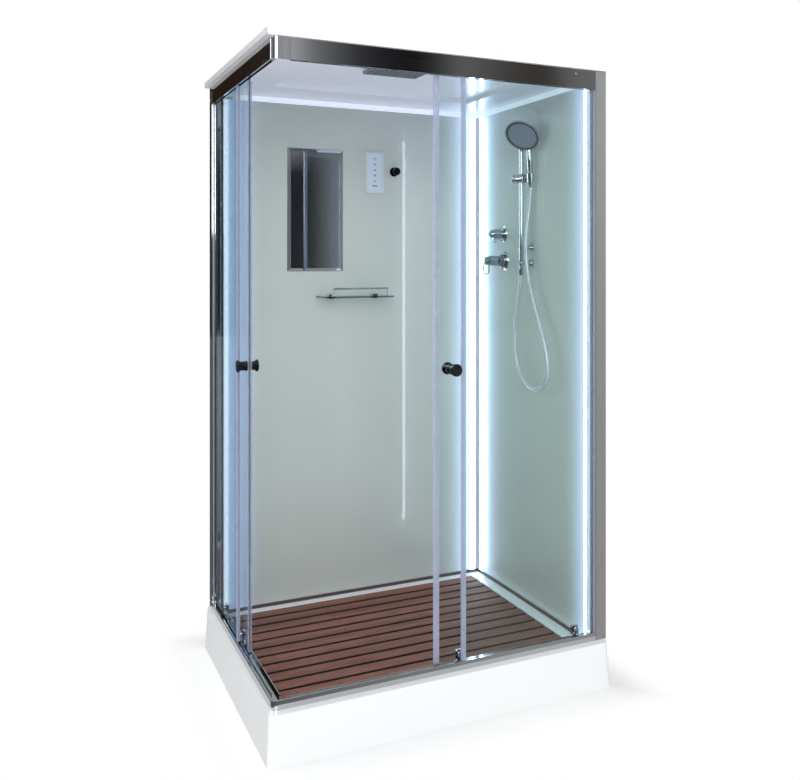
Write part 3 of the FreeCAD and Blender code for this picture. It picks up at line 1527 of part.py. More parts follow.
# Hose: from the foot of the hand shower, down in front of the rail, round a loop and up to the outlet.
# The middle of the route is read from the way it hangs; its ends come from the pieces it joins.
def make_hose():
    way_out = HOLDER_TURN.multVec(Vector(0, 0, -1))
    start = Vector(*[float(v) for v in holder_spot]) + way_out * float(s.cone_reach)
    end = Vector(float(bar_x), float(s.bar_y), float(s.outlet_end))
    foot = Vector(float(bar_x), float(s.bar_y), 0)
    route = [
        start,
        start + way_out * float(s.hose_first_run),
        *[foot + Vector(*sag) for sag in HOSE_SAG],
        end - Vector(0, 0, float(s.hose_last_run)),
        end,
    ]
    keep("hose", tube("hose", route, float(s.hose_diameter) / 2))


make_tray()
make_tray_frame()
make_feet()
make_drain()
make_deck()
make_rails()
make_corner_blocks()
make_posts()
make_fixed_panes()
make_door(FRONT, front_lead, s.front_door_width)
make_door(LEFT, left_lead, s.left_door_width)
make_walls()
make_lights()
make_roof()
make_rain_head()
make_power_supply()
make_mirror()
make_panel()
make_hook()
make_shelf()
make_riser()
make_slider()
make_hand_shower()
make_valves()
make_supply_pipes()
make_hose()

doc.recompute()
faults = [obj.Name for obj in doc.Objects if {"Invalid", "Error"} & set(obj.State)]
faults += [obj.Label for obj in nodes if obj.Shape.isNull() or not obj.Shape.isValid()]
if faults:
    raise SystemExit("faulty: " + ", ".join(faults))
os.makedirs("parts", exist_ok=True)
for obj in nodes:
    obj.Shape.exportStep(f"parts/{obj.Label}.step")
print(len(nodes), "sub-parts written")
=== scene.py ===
"""A rectangular shower cabin, dressed in the order in which it is put together."""

import math

import bmesh
import bpy
from mathutils import Matrix, Vector


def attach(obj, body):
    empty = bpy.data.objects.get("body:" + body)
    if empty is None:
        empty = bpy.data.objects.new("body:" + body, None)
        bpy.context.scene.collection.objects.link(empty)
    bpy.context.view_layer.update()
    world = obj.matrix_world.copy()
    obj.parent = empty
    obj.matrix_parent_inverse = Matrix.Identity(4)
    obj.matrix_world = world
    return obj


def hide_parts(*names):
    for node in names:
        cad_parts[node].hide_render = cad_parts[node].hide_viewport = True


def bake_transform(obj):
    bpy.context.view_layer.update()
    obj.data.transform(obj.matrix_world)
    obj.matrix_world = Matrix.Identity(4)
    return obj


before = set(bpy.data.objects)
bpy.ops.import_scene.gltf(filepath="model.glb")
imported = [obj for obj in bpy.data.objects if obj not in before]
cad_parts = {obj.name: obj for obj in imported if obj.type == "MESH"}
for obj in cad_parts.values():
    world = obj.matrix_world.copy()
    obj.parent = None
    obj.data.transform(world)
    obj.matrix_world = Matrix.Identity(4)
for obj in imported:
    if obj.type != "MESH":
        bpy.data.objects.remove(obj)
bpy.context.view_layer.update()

# The camera stands where the photographer stood: at chest height, left of the
# front, level, with a rising front that keeps the posts upright in the picture.
FRAME_WIDTH_PX = 800
FRAME_HEIGHT_PX = 780
FOCAL_PX = 871.3
SENSOR_MM = 36
LEVEL_POINT_PX = (408.5, 261.8)
CAMERA_PLACE = (-1.268, -2.858, 1.446)
CAMERA_TURN = -24.63
lens = bpy.data.cameras.new("camera")
lens.sensor_fit = "HORIZONTAL"
lens.sensor_width = SENSOR_MM
lens.lens = FOCAL_PX * SENSOR_MM / FRAME_WIDTH_PX
lens.shift_x = (FRAME_WIDTH_PX / 2 - LEVEL_POINT_PX[0]) / FRAME_WIDTH_PX
lens.shift_y = (LEVEL_POINT_PX[1] - FRAME_HEIGHT_PX / 2) / FRAME_WIDTH_PX
camera = bpy.data.objects.new("camera", lens)
camera.location = CAMERA_PLACE
camera.rotation_euler = (math.radians(90), 0, math.radians(CAMERA_TURN))
bpy.context.scene.collection.objects.link(camera)
bpy.context.scene.camera = camera
bpy.context.scene.view_settings.view_transform = "Standard"


# The studio is a pale floor that runs out into white, under a white sky that is
# dimmer to the sides, so that bright metal has something darker to reflect.
def linear(code):
    """An sRGB colour, written as hex, as linear red, green, blue and one."""
    shares = [int(code[i : i + 2], 16) / 255 for i in (1, 3, 5)]
    return [c / 12.92 if c <= 0.04045 else ((c + 0.055) / 1.055) ** 2.4 for c in shares] + [1]


def add(tree, kind, inputs=None, **settings):
    """Adds one node with its settings, and with values or links on its inputs."""
    node = tree.nodes.new("ShaderNode" + kind)
    for name, value in settings.items():
        setattr(node, name, value)
    for socket, value in (inputs or {}).items():
        if isinstance(value, bpy.types.NodeSocket):
            tree.links.new(value, node.inputs[socket])
        else:
            node.inputs[socket].default_value = value
    return node


def new_finish(name):
    """An empty material with its node tree."""
    finish = bpy.data.materials.new(name)
    finish.use_nodes = True
    finish.node_tree.nodes.clear()
    return finish, finish.node_tree


def solid_object(name, shape, finish):
    """A mesh object from a bmesh, with its finish."""
    mesh = bpy.data.meshes.new(name)
    shape.to_mesh(mesh)
    shape.free()
    mesh.materials.append(finish)
    piece = bpy.data.objects.new(name, mesh)
    bpy.context.scene.collection.objects.link(piece)
    return piece


def seen_rays(tree):
    """The light path, and one for the rays that polished metal and glass see."""
    path = add(tree, "LightPath")
    rays = (path.outputs["Is Glossy Ray"], path.outputs["Is Transmission Ray"])
    shiny = add(tree, "Math", {0: rays[0], 1: rays[1]}, operation="MAXIMUM")
    return path, shiny


def set_stops(ramp, stops):
    """Gives a ramp its stops, each a place and a colour."""
    marks = ramp.color_ramp.elements
    while len(marks) < len(stops):
        marks.new(0.5)
    for mark, (place, code) in zip(marks, stops):
        mark.position = place
        mark.color = linear(code)


# What bright metal mirrors, as shares of a turn round the horizon: the header sees
# the upper room, and the posts, rails and mirror see the lower one.
HIGH_ROOM = (
    (0.0, "#40301E"), (0.03, "#2E2014"), (0.055, "#1A1613"), (0.12, "#3A3836"), (0.25, "#8F9294"),
    (0.33, "#55585A"), (0.42, "#77797C"), (0.50, "#B4B7BA"), (0.5437, "#98999B"),
    (0.5448, "#FFFFFF"), (0.5457, "#DFE0E2"), (0.548, "#A8A9AB"), (0.551, "#7E7F80"),
    (0.5574, "#474748"), (0.563, "#29292B"), (0.570, "#171718"), (0.5738, "#2A2A2B"),
    (0.5760, "#7C7C7B"), (0.584, "#595654"), (0.592, "#403B37"), (0.5952, "#403C38"),
    (0.5962, "#86837F"), (0.599, "#6C6967"), (0.604, "#8C8B90"), (0.62, "#4A4C4F"),
    (0.75, "#6E7276"), (0.9, "#2B2A2C"), (1.0, "#2E2A28"),
)
LOW_ROOM = (
    (0.0, "#2A2725"), (0.05, "#1E1B1A"), (0.12, "#3A3836"), (0.25, "#8A8C8E"), (0.33, "#3A3B3D"),
    (0.42, "#5A5C5F"), (0.49, "#B8BBBE"), (0.515, "#3C3D40"), (0.5465, "#1A1A1C"),
    (0.5515, "#262628"), (0.5528, "#8E8E90"), (0.5555, "#6A6A6C"), (0.57, "#48494C"),
    (0.60, "#9C9894"), (0.62, "#9C9894"), (0.68, "#3A3B3D"), (0.75, "#6A6C6F"), (0.9, "#2B2A2C"),
    (1.0, "#2A2725"),
)
LOW_TO_HIGH = (0.1, 0.17)
HIGH_TO_CEILING = (0.6, 0.85)
world = bpy.data.worlds.new("studio")
world.use_nodes = True
sky = world.node_tree
sky.nodes.clear()
path, shiny = seen_rays(sky)
towards = add(sky, "TexCoord")
way = add(sky, "SeparateXYZ", {0: towards.outputs["Generated"]})
back = add(sky, "Math", {0: way.outputs["Y"], 1: -1}, operation="MULTIPLY")
round_room = add(sky, "Math", {0: way.outputs["X"], 1: back.outputs[0]}, operation="ARCTAN2")
share = add(sky, "MapRange", {0: round_room.outputs[0], 1: -math.pi, 2: math.pi, 3: 0, 4: 1})
upper = add(sky, "ValToRGB", {0: share.outputs[0]})
set_stops(upper, HIGH_ROOM)
lower = add(sky, "ValToRGB", {0: share.outputs[0]})
set_stops(lower, LOW_ROOM)
start, end = LOW_TO_HIGH
rise = add(sky, "MapRange", {0: way.outputs["Z"], 1: start, 2: end, 3: 0, 4: 1})
walls = add(sky, "Mix", {
    0: rise.outputs[0], 6: lower.outputs[0], 7: upper.outputs[0],
}, data_type="RGBA")
start, end = HIGH_TO_CEILING
overhead = add(sky, "MapRange", {0: way.outputs["Z"], 1: start, 2: end, 3: 0, 4: 1})
room = add(sky, "Mix", {
    0: overhead.outputs[0], 6: walls.outputs[2], 7: linear("#D6D8DA"),
}, data_type="RGBA")
plain = add(sky, "Background", {"Color": linear("#F6F7F8"), "Strength": 0.56})
mirrored = add(sky, "Background", {"Color": room.outputs[2], "Strength": 1})
white = add(sky, "Background", {"Color": (1, 1, 1, 1), "Strength": 1})
inner = add(sky, "MixShader", {0: shiny.outputs[0], 1: plain.outputs[0], 2: mirrored.outputs[0]})
whole = add(sky, "MixShader", {
    0: path.outputs["Is Camera Ray"], 1: inner.outputs[0], 2: white.outputs[0],
})
add(sky, "OutputWorld", {0: whole.outputs[0]})
bpy.context.scene.world = world

# Seen directly, the floor turns white beyond the cabin's soft shadow. Polished metal sees it as a grey glow,
# with painted shade that makes it darker to the left.
FLOOR_REACH = 14
CABIN_HALF = (0.6, 0.45, 0)
SHADOW_REACH = 0.16
GREY_REACH = (-0.7, 0.5)
floor_paint, tree = new_finish("pale_floor_paint")
path, shiny = seen_rays(tree)
where = add(tree, "TexCoord")
spread = add(tree, "VectorMath", {0: where.outputs["Object"]}, operation="ABSOLUTE")
beyond = add(tree, "VectorMath", {0: spread.outputs[0], 1: CABIN_HALF}, operation="SUBTRACT")
sides = add(tree, "SeparateXYZ", {0: beyond.outputs[0]})
away = add(tree, "Math", {0: sides.outputs["X"], 1: sides.outputs["Y"]}, operation="MAXIMUM")
fade = add(tree, "MapRange", {
    0: away.outputs[0], 1: 0, 2: SHADOW_REACH, 3: 0, 4: 1,
}, interpolation_type="SMOOTHSTEP")
share = add(tree, "Math", {0: fade.outputs[0], 1: path.outputs["Is Camera Ray"]}, operation="MULTIPLY")
share = add(tree, "Math", {0: share.outputs[0], 1: shiny.outputs[0]}, operation="MAXIMUM")
paint = add(tree, "BsdfPrincipled", {"Base Color": linear("#F7F7F7"), "Roughness": 0.7})
place = add(tree, "SeparateXYZ", {0: where.outputs["Object"]})
start, end = GREY_REACH
# Painted shade: the grey glow that metal sees grows darker towards the left.
lit = add(tree, "MapRange", {0: place.outputs["X"], 1: start, 2: end, 3: 0, 4: 1})
mirrored = add(tree, "Mix", {
    0: lit.outputs[0], 6: linear("#626466"), 7: linear("#A9A5A1"),
}, data_type="RGBA")
tone = add(tree, "Mix", {
    0: shiny.outputs[0], 6: (1, 1, 1, 1), 7: mirrored.outputs[2],
}, data_type="RGBA")
glow = add(tree, "Emission", {0: tone.outputs[2], 1: 1})
surface = add(tree, "MixShader", {0: share.outputs[0], 1: paint.outputs[0], 2: glow.outputs[0]})
add(tree, "OutputMaterial", {0: surface.outputs[0]})
shape = bmesh.new()
bmesh.ops.create_grid(shape, x_segments=1, y_segments=1, size=FLOOR_REACH)
solid_object("floor", shape, floor_paint)

# Four square lamps, each with its place, what it points at, its side in metres and watts.
LAMPS = (
    ("key_lamp", (-1.3, -4.2, 2.9), (0.1, 0, 0.9), 2.6, 110),
    ("side_lamp", (3.4, -1.6, 2.4), (0.2, 0, 1.0), 2.0, 30),
    ("left_lamp", (-3.6, 0.3, 1.8), (-0.3, 0, 0.5), 1.6, 34),
    ("back_lamp", (-2.6, 2.8, 3.0), (0, 0, 1.2), 2.0, 35),
)
for name, place, aim, size, watts in LAMPS:
    lamp = bpy.data.lights.new(name, "AREA")
    lamp.shape = "SQUARE"
    lamp.size = size
    lamp.energy = watts
    bulb = bpy.data.objects.new(name, lamp)
    bulb.location = place
    bulb.rotation_euler = (Vector(aim) - Vector(place)).to_track_quat("-Z", "Y").to_euler()
    bpy.context.scene.collection.objects.link(bulb)


# The tray is one white sheet of acrylic, sucked over a mould and backed with
# glass fibre. It shines softly, with the slight orange peel of a moulded sheet.
def dress(finish, *names):
    """Gives CAD nodes their finish."""
    for name in names:
        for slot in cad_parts[name].material_slots:
            slot.material = finish


def shade_smooth(shape):
    """Curved faces run smoothly into each other, and corners over 35 degrees stay sharp."""
    for face in shape.faces:
        face.smooth = True
    for edge in shape.edges:
        edge.smooth = edge.calc_face_angle(0) < math.radians(35)


def per_metre(width):
    """The scale of a pattern whose grains are so many mm wide.

    Grain that is too fine to show is drawn coarser than it really is.
    """
    return 1000 / width


acrylic, tree = new_finish("vacuum_formed_acrylic")
where = add(tree, "TexCoord")
peel = add(tree, "TexNoise", {"Vector": where.outputs["Object"], "Scale": per_metre(11.1), "Detail": 2})
ripple = add(tree, "Bump", {"Height": peel.outputs[0], "Strength": 0.03, "Distance": 0.002})
dust = add(tree, "TexNoise", {"Vector": where.outputs["Object"], "Scale": per_metre(333), "Detail": 3})
worn = add(tree, "MapRange", {0: dust.outputs[0], 3: 0.16, 4: 0.3})
paint = add(tree, "BsdfPrincipled", {
    "Base Color": linear("#F3F4F5"), "Roughness": worn.outputs[0], "Coat Weight": 0.3,
    "Coat Roughness": 0.05, "Normal": ripple.outputs[0],
})
add(tree, "OutputMaterial", {0: paint.outputs[0]})
dress(acrylic, "tray")

# Inside each upright corner of the skirt the glass fibre is laid up thick behind the
# skin. It follows the rounded, leaning corner, 0.3 mm behind the face. All are in mm.
TRAY_HALF = (600, 450)
SKIRT_RADIUS = 24
SKIRT_LEAN = 8 / 150
BACKING = ((20.5, 0.5), (23.7, 0.5), (23.7, 147), (20.5, 147))
shape = bmesh.new()
for sx in (-1, 1):
    for sy in (-1, 1):
        made = set(shape.verts)
        inset = [half - SKIRT_RADIUS for half in TRAY_HALF]
        centre = Vector((sx * inset[0], sy * inset[1], 0)) / 1000
        corners = [centre + Vector((sx * r, 0, z)) / 1000 for r, z in BACKING]
        side = shape.faces.new([shape.verts.new(corner) for corner in corners])
        bmesh.ops.spin(
            shape, geom=[side], cent=centre, axis=(0, 0, 1), angle=math.radians(90) * sx * sy, steps=20,
        )
        for point in set(shape.verts) - made:
            point.co -= Vector((sx, sy, 0)) * SKIRT_LEAN * point.co.z
bmesh.ops.recalc_face_normals(shape, faces=shape.faces)
shade_smooth(shape)
backing = solid_object("tray_corner_backing", shape, acrylic)
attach(backing, "cabin")


# Under the tray a welded frame of square tube stands on six levelling feet.
# The steel is bright zinc plate, dull and faintly crystalline.
zinc, tree = new_finish("zinc_plated_steel")
where = add(tree, "TexCoord")
grains = add(tree, "TexVoronoi", {"Vector": where.outputs["Object"], "Scale": per_metre(6.25)})
tone = add(tree, "MapRange", {0: grains.outputs["Distance"], 3: 0.28, 4: 0.5})
shade = add(tree, "Mix", {
    0: grains.outputs["Distance"], 6: linear("#B4B8BA"), 7: linear("#989DA1"),
}, data_type="RGBA")
metal = add(tree, "BsdfPrincipled", {
    "Base Color": shade.outputs[2], "Metallic": 1, "Roughness": tone.outputs[0],
})
add(tree, "OutputMaterial", {0: metal.outputs[0]})
dress(zinc, "tray_frame", "leveling_feet")

# The waste is a trap of grey polypropylene, clamped into the pan's hole from below.
# The case of the power supply on the roof is moulded from the same plastic, with a
# fine grain from its mould.
trap_plastic, tree = new_finish("moulded_grey_polypropylene")
where = add(tree, "TexCoord")
grit = add(tree, "TexNoise", {"Vector": where.outputs["Object"], "Scale": per_metre(1.43), "Detail": 2})
rough = add(tree, "Bump", {"Height": grit.outputs[0], "Strength": 0.15, "Distance": 0.0005})
body = add(tree, "BsdfPrincipled", {
    "Base Color": linear("#8D9194"), "Roughness": 0.45, "Normal": rough.outputs[0],
})
add(tree, "OutputMaterial", {0: body.outputs[0]})
dress(trap_plastic, "drain_body", "power_supply")


# The waste's grate is pressed sheet, chrome plated like most of the fittings. Plating is
# almost a mirror, with a little waviness left by the polishing wheel.
def bright_metal(name, colour, low, high, grain, metallic=1):
    """Polished metal with a roughness between low and high.

    The grain is the width of its lines along X, Y and Z in mm.
    """
    finish, tree = new_finish(name)
    where = add(tree, "TexCoord")
    scale = [per_metre(width) for width in grain]
    stretch = add(tree, "Mapping", {"Vector": where.outputs["Object"], "Scale": scale})
    lines = add(tree, "TexNoise", {"Vector": stretch.outputs[0], "Scale": 1, "Detail": 3})
    polish = add(tree, "MapRange", {0: lines.outputs[0], 1: 0.3, 2: 0.7, 3: low, 4: high})
    wave = add(tree, "Bump", {"Height": lines.outputs[0], "Strength": 0.05, "Distance": 0.0006})
    metal = add(tree, "BsdfPrincipled", {
        "Base Color": linear(colour), "Metallic": metallic, "Roughness": polish.outputs[0],
        "Normal": wave.outputs[0],
    })
    add(tree, "OutputMaterial", {0: metal.outputs[0]})
    return finish


plated = bright_metal("bright_chrome_plate", "#CFCFD6", 0.03, 0.08, (25, 25, 25))
dress(plated, "drain_grate")


# The bathing deck is a grid of dark wood-plastic boards, brown with a red cast, brushed along their length,
# on four bearers of the same stuff. Strips as wide as a board differ a little in tone. Everything below the
# boards' top faces, the bearers too, and a band along the rounded edges by each gap are painted nearly
# black, as painted shade in the gaps. Sizes are in mm.
BOARD_PITCH = 62.6
GAP_MIDDLE = -309.6
GAP_HALF = (6.2, 7.8)
BOARD_FACE = (119.7, 120.6)
BOARD_GRAIN = (152, 5.05, 5.05)
STRIP_SHIFT = 0.46
boards, tree = new_finish("brushed_wood_plastic_board")
where = add(tree, "TexCoord")
scale = [per_metre(width) for width in BOARD_GRAIN]
grain_way = add(tree, "Mapping", {"Vector": where.outputs["Object"], "Scale": scale})
grain = add(tree, "TexNoise", {
    "Vector": grain_way.outputs[0], "Scale": 1, "Detail": 5, "Roughness": 0.6,
})
split = add(tree, "SeparateXYZ", {0: where.outputs["Object"]})
row = add(tree, "Math", {0: split.outputs["Y"], 1: BOARD_PITCH / 1000}, operation="DIVIDE")
row = add(tree, "Math", {0: row.outputs[0], 1: STRIP_SHIFT}, operation="ADD")
row = add(tree, "Math", {0: row.outputs[0]}, operation="FLOOR")
each = add(tree, "TexWhiteNoise", {1: row.outputs[0]}, noise_dimensions="1D")
dark = add(tree, "ValToRGB", {0: grain.outputs[0]})
set_stops(dark, ((0.3, "#5E3B33"), (0.72, "#9C6A58")))
board_tone = add(tree, "MapRange", {0: each.outputs[0], 3: 0.82, 4: 1.14})
stain = add(tree, "HueSaturation", {"Value": board_tone.outputs[0], "Color": dark.outputs[0]})
brushed = add(tree, "Bump", {"Height": grain.outputs[0], "Strength": 0.25, "Distance": 0.0012})
sheen = add(tree, "MapRange", {0: grain.outputs[0], 3: 0.58, 4: 0.72})
foot, top = (height / 1000 for height in BOARD_FACE)
# Painted shade: below the boards' top faces, and in a band along each gap's rounded edges, the colour goes
# to near black.
gap_shade = add(tree, "MapRange", {0: split.outputs["Z"], 1: foot, 2: top, 3: 1, 4: 0})
from_gap = add(tree, "Math", {0: split.outputs["Y"], 1: GAP_MIDDLE / 1000}, operation="SUBTRACT")
to_gap = add(tree, "Math", {0: from_gap.outputs[0], 1: BOARD_PITCH / 2000}, operation="PINGPONG")
inner, outer = (way / 1000 for way in GAP_HALF)
painted_edge_shade = add(tree, "MapRange", {0: to_gap.outputs[0], 1: inner, 2: outer, 3: 1, 4: 0})
gap_shade = add(tree, "Math", {0: gap_shade.outputs[0], 1: painted_edge_shade.outputs[0]}, operation="MAXIMUM")
deep = add(tree, "Mix", {
    0: gap_shade.outputs[0], 6: stain.outputs[0], 7: linear("#030202"),
}, data_type="RGBA")
wood = add(tree, "BsdfPrincipled", {
    "Base Color": deep.outputs[2], "Roughness": sheen.outputs[0], "Normal": brushed.outputs[0],
    "Specular IOR Level": 0.3,
})
add(tree, "OutputMaterial", {0: wood.outputs[0]})
dress(boards, "deck_slats", "deck_bearers")


# Each board is held to its bearers by sunk steel screws, browned so that they hardly
# show. One screw stands over each of the four bearers.
def turned_piece(name, outline, finish, body, spots, steps=32):
    """A piece turned from an outline of (radius, height) in mm, once at each spot.

    A spot is a place in mm and the axis that the outline's height runs along.
    """
    shape = bmesh.new()
    for place, axis in spots:
        turn = Vector((0, 0, 1)).rotation_difference(Vector(axis)).to_matrix().to_4x4()
        stand = Matrix.Translation(Vector(place) / 1000) @ turn
        points = [shape.verts.new(stand @ Vector((r / 1000, 0, h / 1000))) for r, h in outline]
        edges = [shape.edges.new(pair) for pair in zip(points, points[1:])]
        bmesh.ops.spin(
            shape, geom=points + edges, cent=stand.translation,
            axis=stand.to_3x3() @ Vector((0, 0, 1)), angle=math.tau, steps=steps, use_merge=True,
        )
    bmesh.ops.remove_doubles(shape, verts=shape.verts, dist=1e-6)
    bmesh.ops.recalc_face_normals(shape, faces=shape.faces)
    shade_smooth(shape)
    piece = solid_object(name, shape, finish)
    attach(piece, body)
    return piece


BOARD_SCREW_OUTLINE = ((0, 0.15), (1.4, 0.15), (2.6, 0.4), (3.2, 0.2), (3.3, -0.5))
LAST_BOARD = 347.7
BEARERS = (-462, -163, 136, 435)
board_screws = [
    ((x, LAST_BOARD - BOARD_PITCH * row, 121), (0, 0, 1)) for row in range(12) for x in BEARERS
]
browned_steel = bright_metal("browned_steel", "#3A2A24", 0.35, 0.5, (3.33, 3.33, 3.33))
turned_piece("deck_screws", BOARD_SCREW_OUTLINE, browned_steel, "deck", board_screws, 10)


# Rails and the left post are extruded aluminium, ground and bright chromed, so they
# mirror the room. Faint die lines run along them, DIE_LINE mm apart. The right post
# is only satin anodised, which is duller and greyer.
DIE_LINE = 5 / 3
chrome_x = bright_metal("chromed_rail_front", "#C9CBCE", 0.03, 0.09, (500, DIE_LINE, DIE_LINE))
chrome_y = bright_metal("chromed_rail_left", "#C9CBCE", 0.03, 0.09, (DIE_LINE, 500, DIE_LINE))
chrome_z = bright_metal("chromed_post", "#C9CBCE", 0.03, 0.09, (DIE_LINE, DIE_LINE, 500))
satin = bright_metal("satin_anodised_post", "#A3A4A5", 0.3, 0.46, (1.11, 1.11, 333), 0.6)
dress(chrome_x, "top_rail_front", "bottom_rail_front")
dress(chrome_y, "top_rail_left", "bottom_rail_left")
dress(chrome_z, "post_left", "corner_blocks")
dress(satin, "post_right")


# Pan-head screws of stainless steel hold the rails to the right post and the left
# one. Their sockets are turned through the head.
bright_steel = bright_metal("pan_head_stainless", "#C2C4C6", 0.12, 0.2, (3.33, 3.33, 3.33))
SCREW_OUTLINE = ((1.2, -0.6), (1.2, 1.4), (2.6, 1.9), (3.6, 1.2), (4.0, 0.2), (4.0, -0.6))
SCREW_SPOTS = (
    ((476, -414, 2082), (0, -1, 0)), ((586, -414, 172), (0, -1, 0)),
    ((-580, 428, 172), (-1, 0, 0)), ((-580, 428, 2052), (-1, 0, 0)),
)
turned_piece("rail_screws", SCREW_OUTLINE, bright_steel, "cabin", SCREW_SPOTS, 16)


# Panes are 6 mm clear toughened glass with ground edges, faintly green through the
# edge. A pane mirrors a little head on and more at a glance, and lets the rest through.
def clear_pane(name, tint, edge, face_axis):
    """Clear glass with a deeper colour where one looks along the pane."""
    finish, tree = new_finish(name)
    shape = add(tree, "NewGeometry")
    facing = add(tree, "SeparateXYZ", {0: shape.outputs["Normal"]})
    flat = add(tree, "Math", {0: facing.outputs[face_axis]}, operation="ABSOLUTE")
    rim = add(tree, "Math", {0: flat.outputs[0], 1: 0.5}, operation="LESS_THAN")
    tone = add(tree, "Mix", {0: rim.outputs[0], 6: linear(tint), 7: linear(edge)}, data_type="RGBA")
    clear = add(tree, "BsdfTransparent", {0: tone.outputs[2]})
    shine = add(tree, "BsdfAnisotropic", {"Color": (1, 1, 1, 1), "Roughness": 0.02})
    bend = add(tree, "Fresnel", {"IOR": 1.5})
    front = add(tree, "Math", {0: 1, 1: shape.outputs["Backfacing"]}, operation="SUBTRACT")
    gloss = add(tree, "Math", {0: bend.outputs[0], 1: front.outputs[0]}, operation="MULTIPLY")
    surface = add(tree, "MixShader", {0: gloss.outputs[0], 1: clear.outputs[0], 2: shine.outputs[0]})
    add(tree, "OutputMaterial", {0: surface.outputs[0]})
    return finish


glass_front = clear_pane("toughened_glass_front", "#F6FBFA", "#9DBDB9", "Y")
glass_left = clear_pane("toughened_glass_left", "#F2F8F8", "#2F4858", "X")
dress(glass_front, "fixed_glass_front", "front_door_glass")
dress(glass_left, "fixed_glass_left", "left_door_glass")


# Seals are extruded from soft clear vinyl and pushed onto the upright edges of the
# panes. They are milky in depth and bluish at a glance. The left door's are clearer.
def clear_vinyl(name, low, high):
    """Soft clear vinyl, with the share of light that its milkiness holds back."""
    finish, tree = new_finish(name)
    where = add(tree, "TexCoord")
    milk = add(tree, "TexNoise", {"Vector": where.outputs["Object"], "Scale": per_metre(33.3), "Detail": 2})
    haze = add(tree, "MapRange", {0: milk.outputs[0], 3: low, 4: high})
    graze = add(tree, "LayerWeight", {"Blend": 0.3})
    side = add(tree, "Math", {0: graze.outputs["Facing"], 1: 0.45}, operation="MULTIPLY")
    haze = add(tree, "Math", {0: haze.outputs[0], 1: side.outputs[0]}, operation="ADD", use_clamp=True)
    clear = add(tree, "BsdfTransparent", {0: linear("#E8EFF6")})
    skin = add(tree, "BsdfPrincipled", {"Base Color": linear("#C4C8DE"), "Roughness": 0.15})
    surface = add(tree, "MixShader", {0: haze.outputs[0], 1: clear.outputs[0], 2: skin.outputs[0]})
    add(tree, "OutputMaterial", {0: surface.outputs[0]})
    return finish


dress(clear_vinyl("extruded_clear_vinyl", 0.32, 0.5), "fixed_glass_seals", "front_door_seals")
dress(clear_vinyl("extruded_thin_clear_vinyl", 0.12, 0.25), "left_door_seals")

# Each door hangs from chromed carriers that are bolted through its glass. Its knobs
# are a turned pair, screwed together through the pane and plated in dark chrome.
dress(plated, "front_door_carriers", "left_door_carriers")
dark_chrome = bright_metal("dark_chrome_plate", "#3E3F45", 0.03, 0.08, (25, 25, 25))
dress(dark_chrome, "front_door_knob", "left_door_knob")

# Both ends of each knob are closed by a slightly domed cap of glossy black ABS, which
# snaps in and hides the screw.
jet, tree = new_finish("glossy_black_abs")
where = add(tree, "TexCoord")
haze = add(tree, "TexNoise", {"Vector": where.outputs["Object"], "Scale": per_metre(4.17), "Detail": 2})
sheen = add(tree, "MapRange", {0: haze.outputs[0], 3: 0.1, 4: 0.2})
body = add(tree, "BsdfPrincipled", {"Base Color": linear("#131315"), "Roughness": sheen.outputs[0]})
add(tree, "OutputMaterial", {0: body.outputs[0]})
CAP_OUTLINE = ((0, 1.1), (6, 1.0), (11, 0.75), (14.8, 0.4), (15.6, 0), (15.6, -0.3))
KNOB_HEIGHT = 1103
turned_piece(
    "front_knob_caps", CAP_OUTLINE, jet, "front_door",
    (((17, -423, KNOB_HEIGHT), (0, -1, 0)), ((17, -353, KNOB_HEIGHT), (0, 1, 0))),
)
turned_piece(
    "left_knob_caps", CAP_OUTLINE, jet, "left_door",
    (((-589, -26, KNOB_HEIGHT), (-1, 0, 0)), ((-519, -26, KNOB_HEIGHT), (1, 0, 0))),
)

# The wheels are turned from white nylon, which is dull and lets a little light into
# its edges. They run on the beads and in the channels of the rails.
nylon, tree = new_finish("turned_nylon")
where = add(tree, "TexCoord")
swirl = add(tree, "TexNoise", {"Vector": where.outputs["Object"], "Scale": per_metre(4.55), "Detail": 2})
rough = add(tree, "Bump", {"Height": swirl.outputs[0], "Strength": 0.08, "Distance": 0.0004})
body = add(tree, "BsdfPrincipled", {
    "Base Color": linear("#E4E4DE"), "Roughness": 0.38, "Subsurface Weight": 0.15,
    "Subsurface Radius": (0.002, 0.002, 0.002), "Normal": rough.outputs[0],
})
add(tree, "OutputMaterial", {0: body.outputs[0]})
for side in ("front", "left"):
    for kind in ("hanger", "guide"):
        dress(nylon, f"{side}_{kind}_wheel_a", f"{side}_{kind}_wheel_b")

# Each wheel turns on a pressed-in ball bearing, whose steel race shows round the
# axle's head. The rows give the wheel's name, its two places along the door, the
# face that the race lies in and the height, in mm.
RACE_OUTLINE = ((5.8, -0.3), (5.8, 0.3), (6.6, 0.45), (7.6, 0.45), (8.2, 0.2), (8.2, -0.3))
WHEEL_PLACES = (
    ("front_hanger_wheel", (45, 492), -373.5, 2076.2), ("front_guide_wheel", (45, 492), -376.6, 163.3),
    ("left_hanger_wheel", (50, 297), -539.5, 2076.2), ("left_guide_wheel", (50, 297), -542.6, 163.3),
)
for name, along, face, height in WHEEL_PLACES:
    for tag, place in zip("ab", along):
        front = name.startswith("front")
        spot = (place, face, height) if front else (face, place, height)
        axis = (0, 1, 0) if front else (1, 0, 0)
        wheel = f"{name}_{tag}"
        turned_piece(wheel + "_race", RACE_OUTLINE, bright_steel, wheel, ((spot, axis),), 24)


# Both walls are toughened glass, painted on the back in a grey mint, so the colour lies deep under a hard
# bright face; the right wall's mint is painted lighter, as painted light. Beside the strips in the corners a
# glow is painted on: the glass emits light there and takes a cold tint, which fades over GLOW_REACH metres.
GLOW = 1.0
GLOW_REACH = 0.15
GLOW_FALL = 2.5


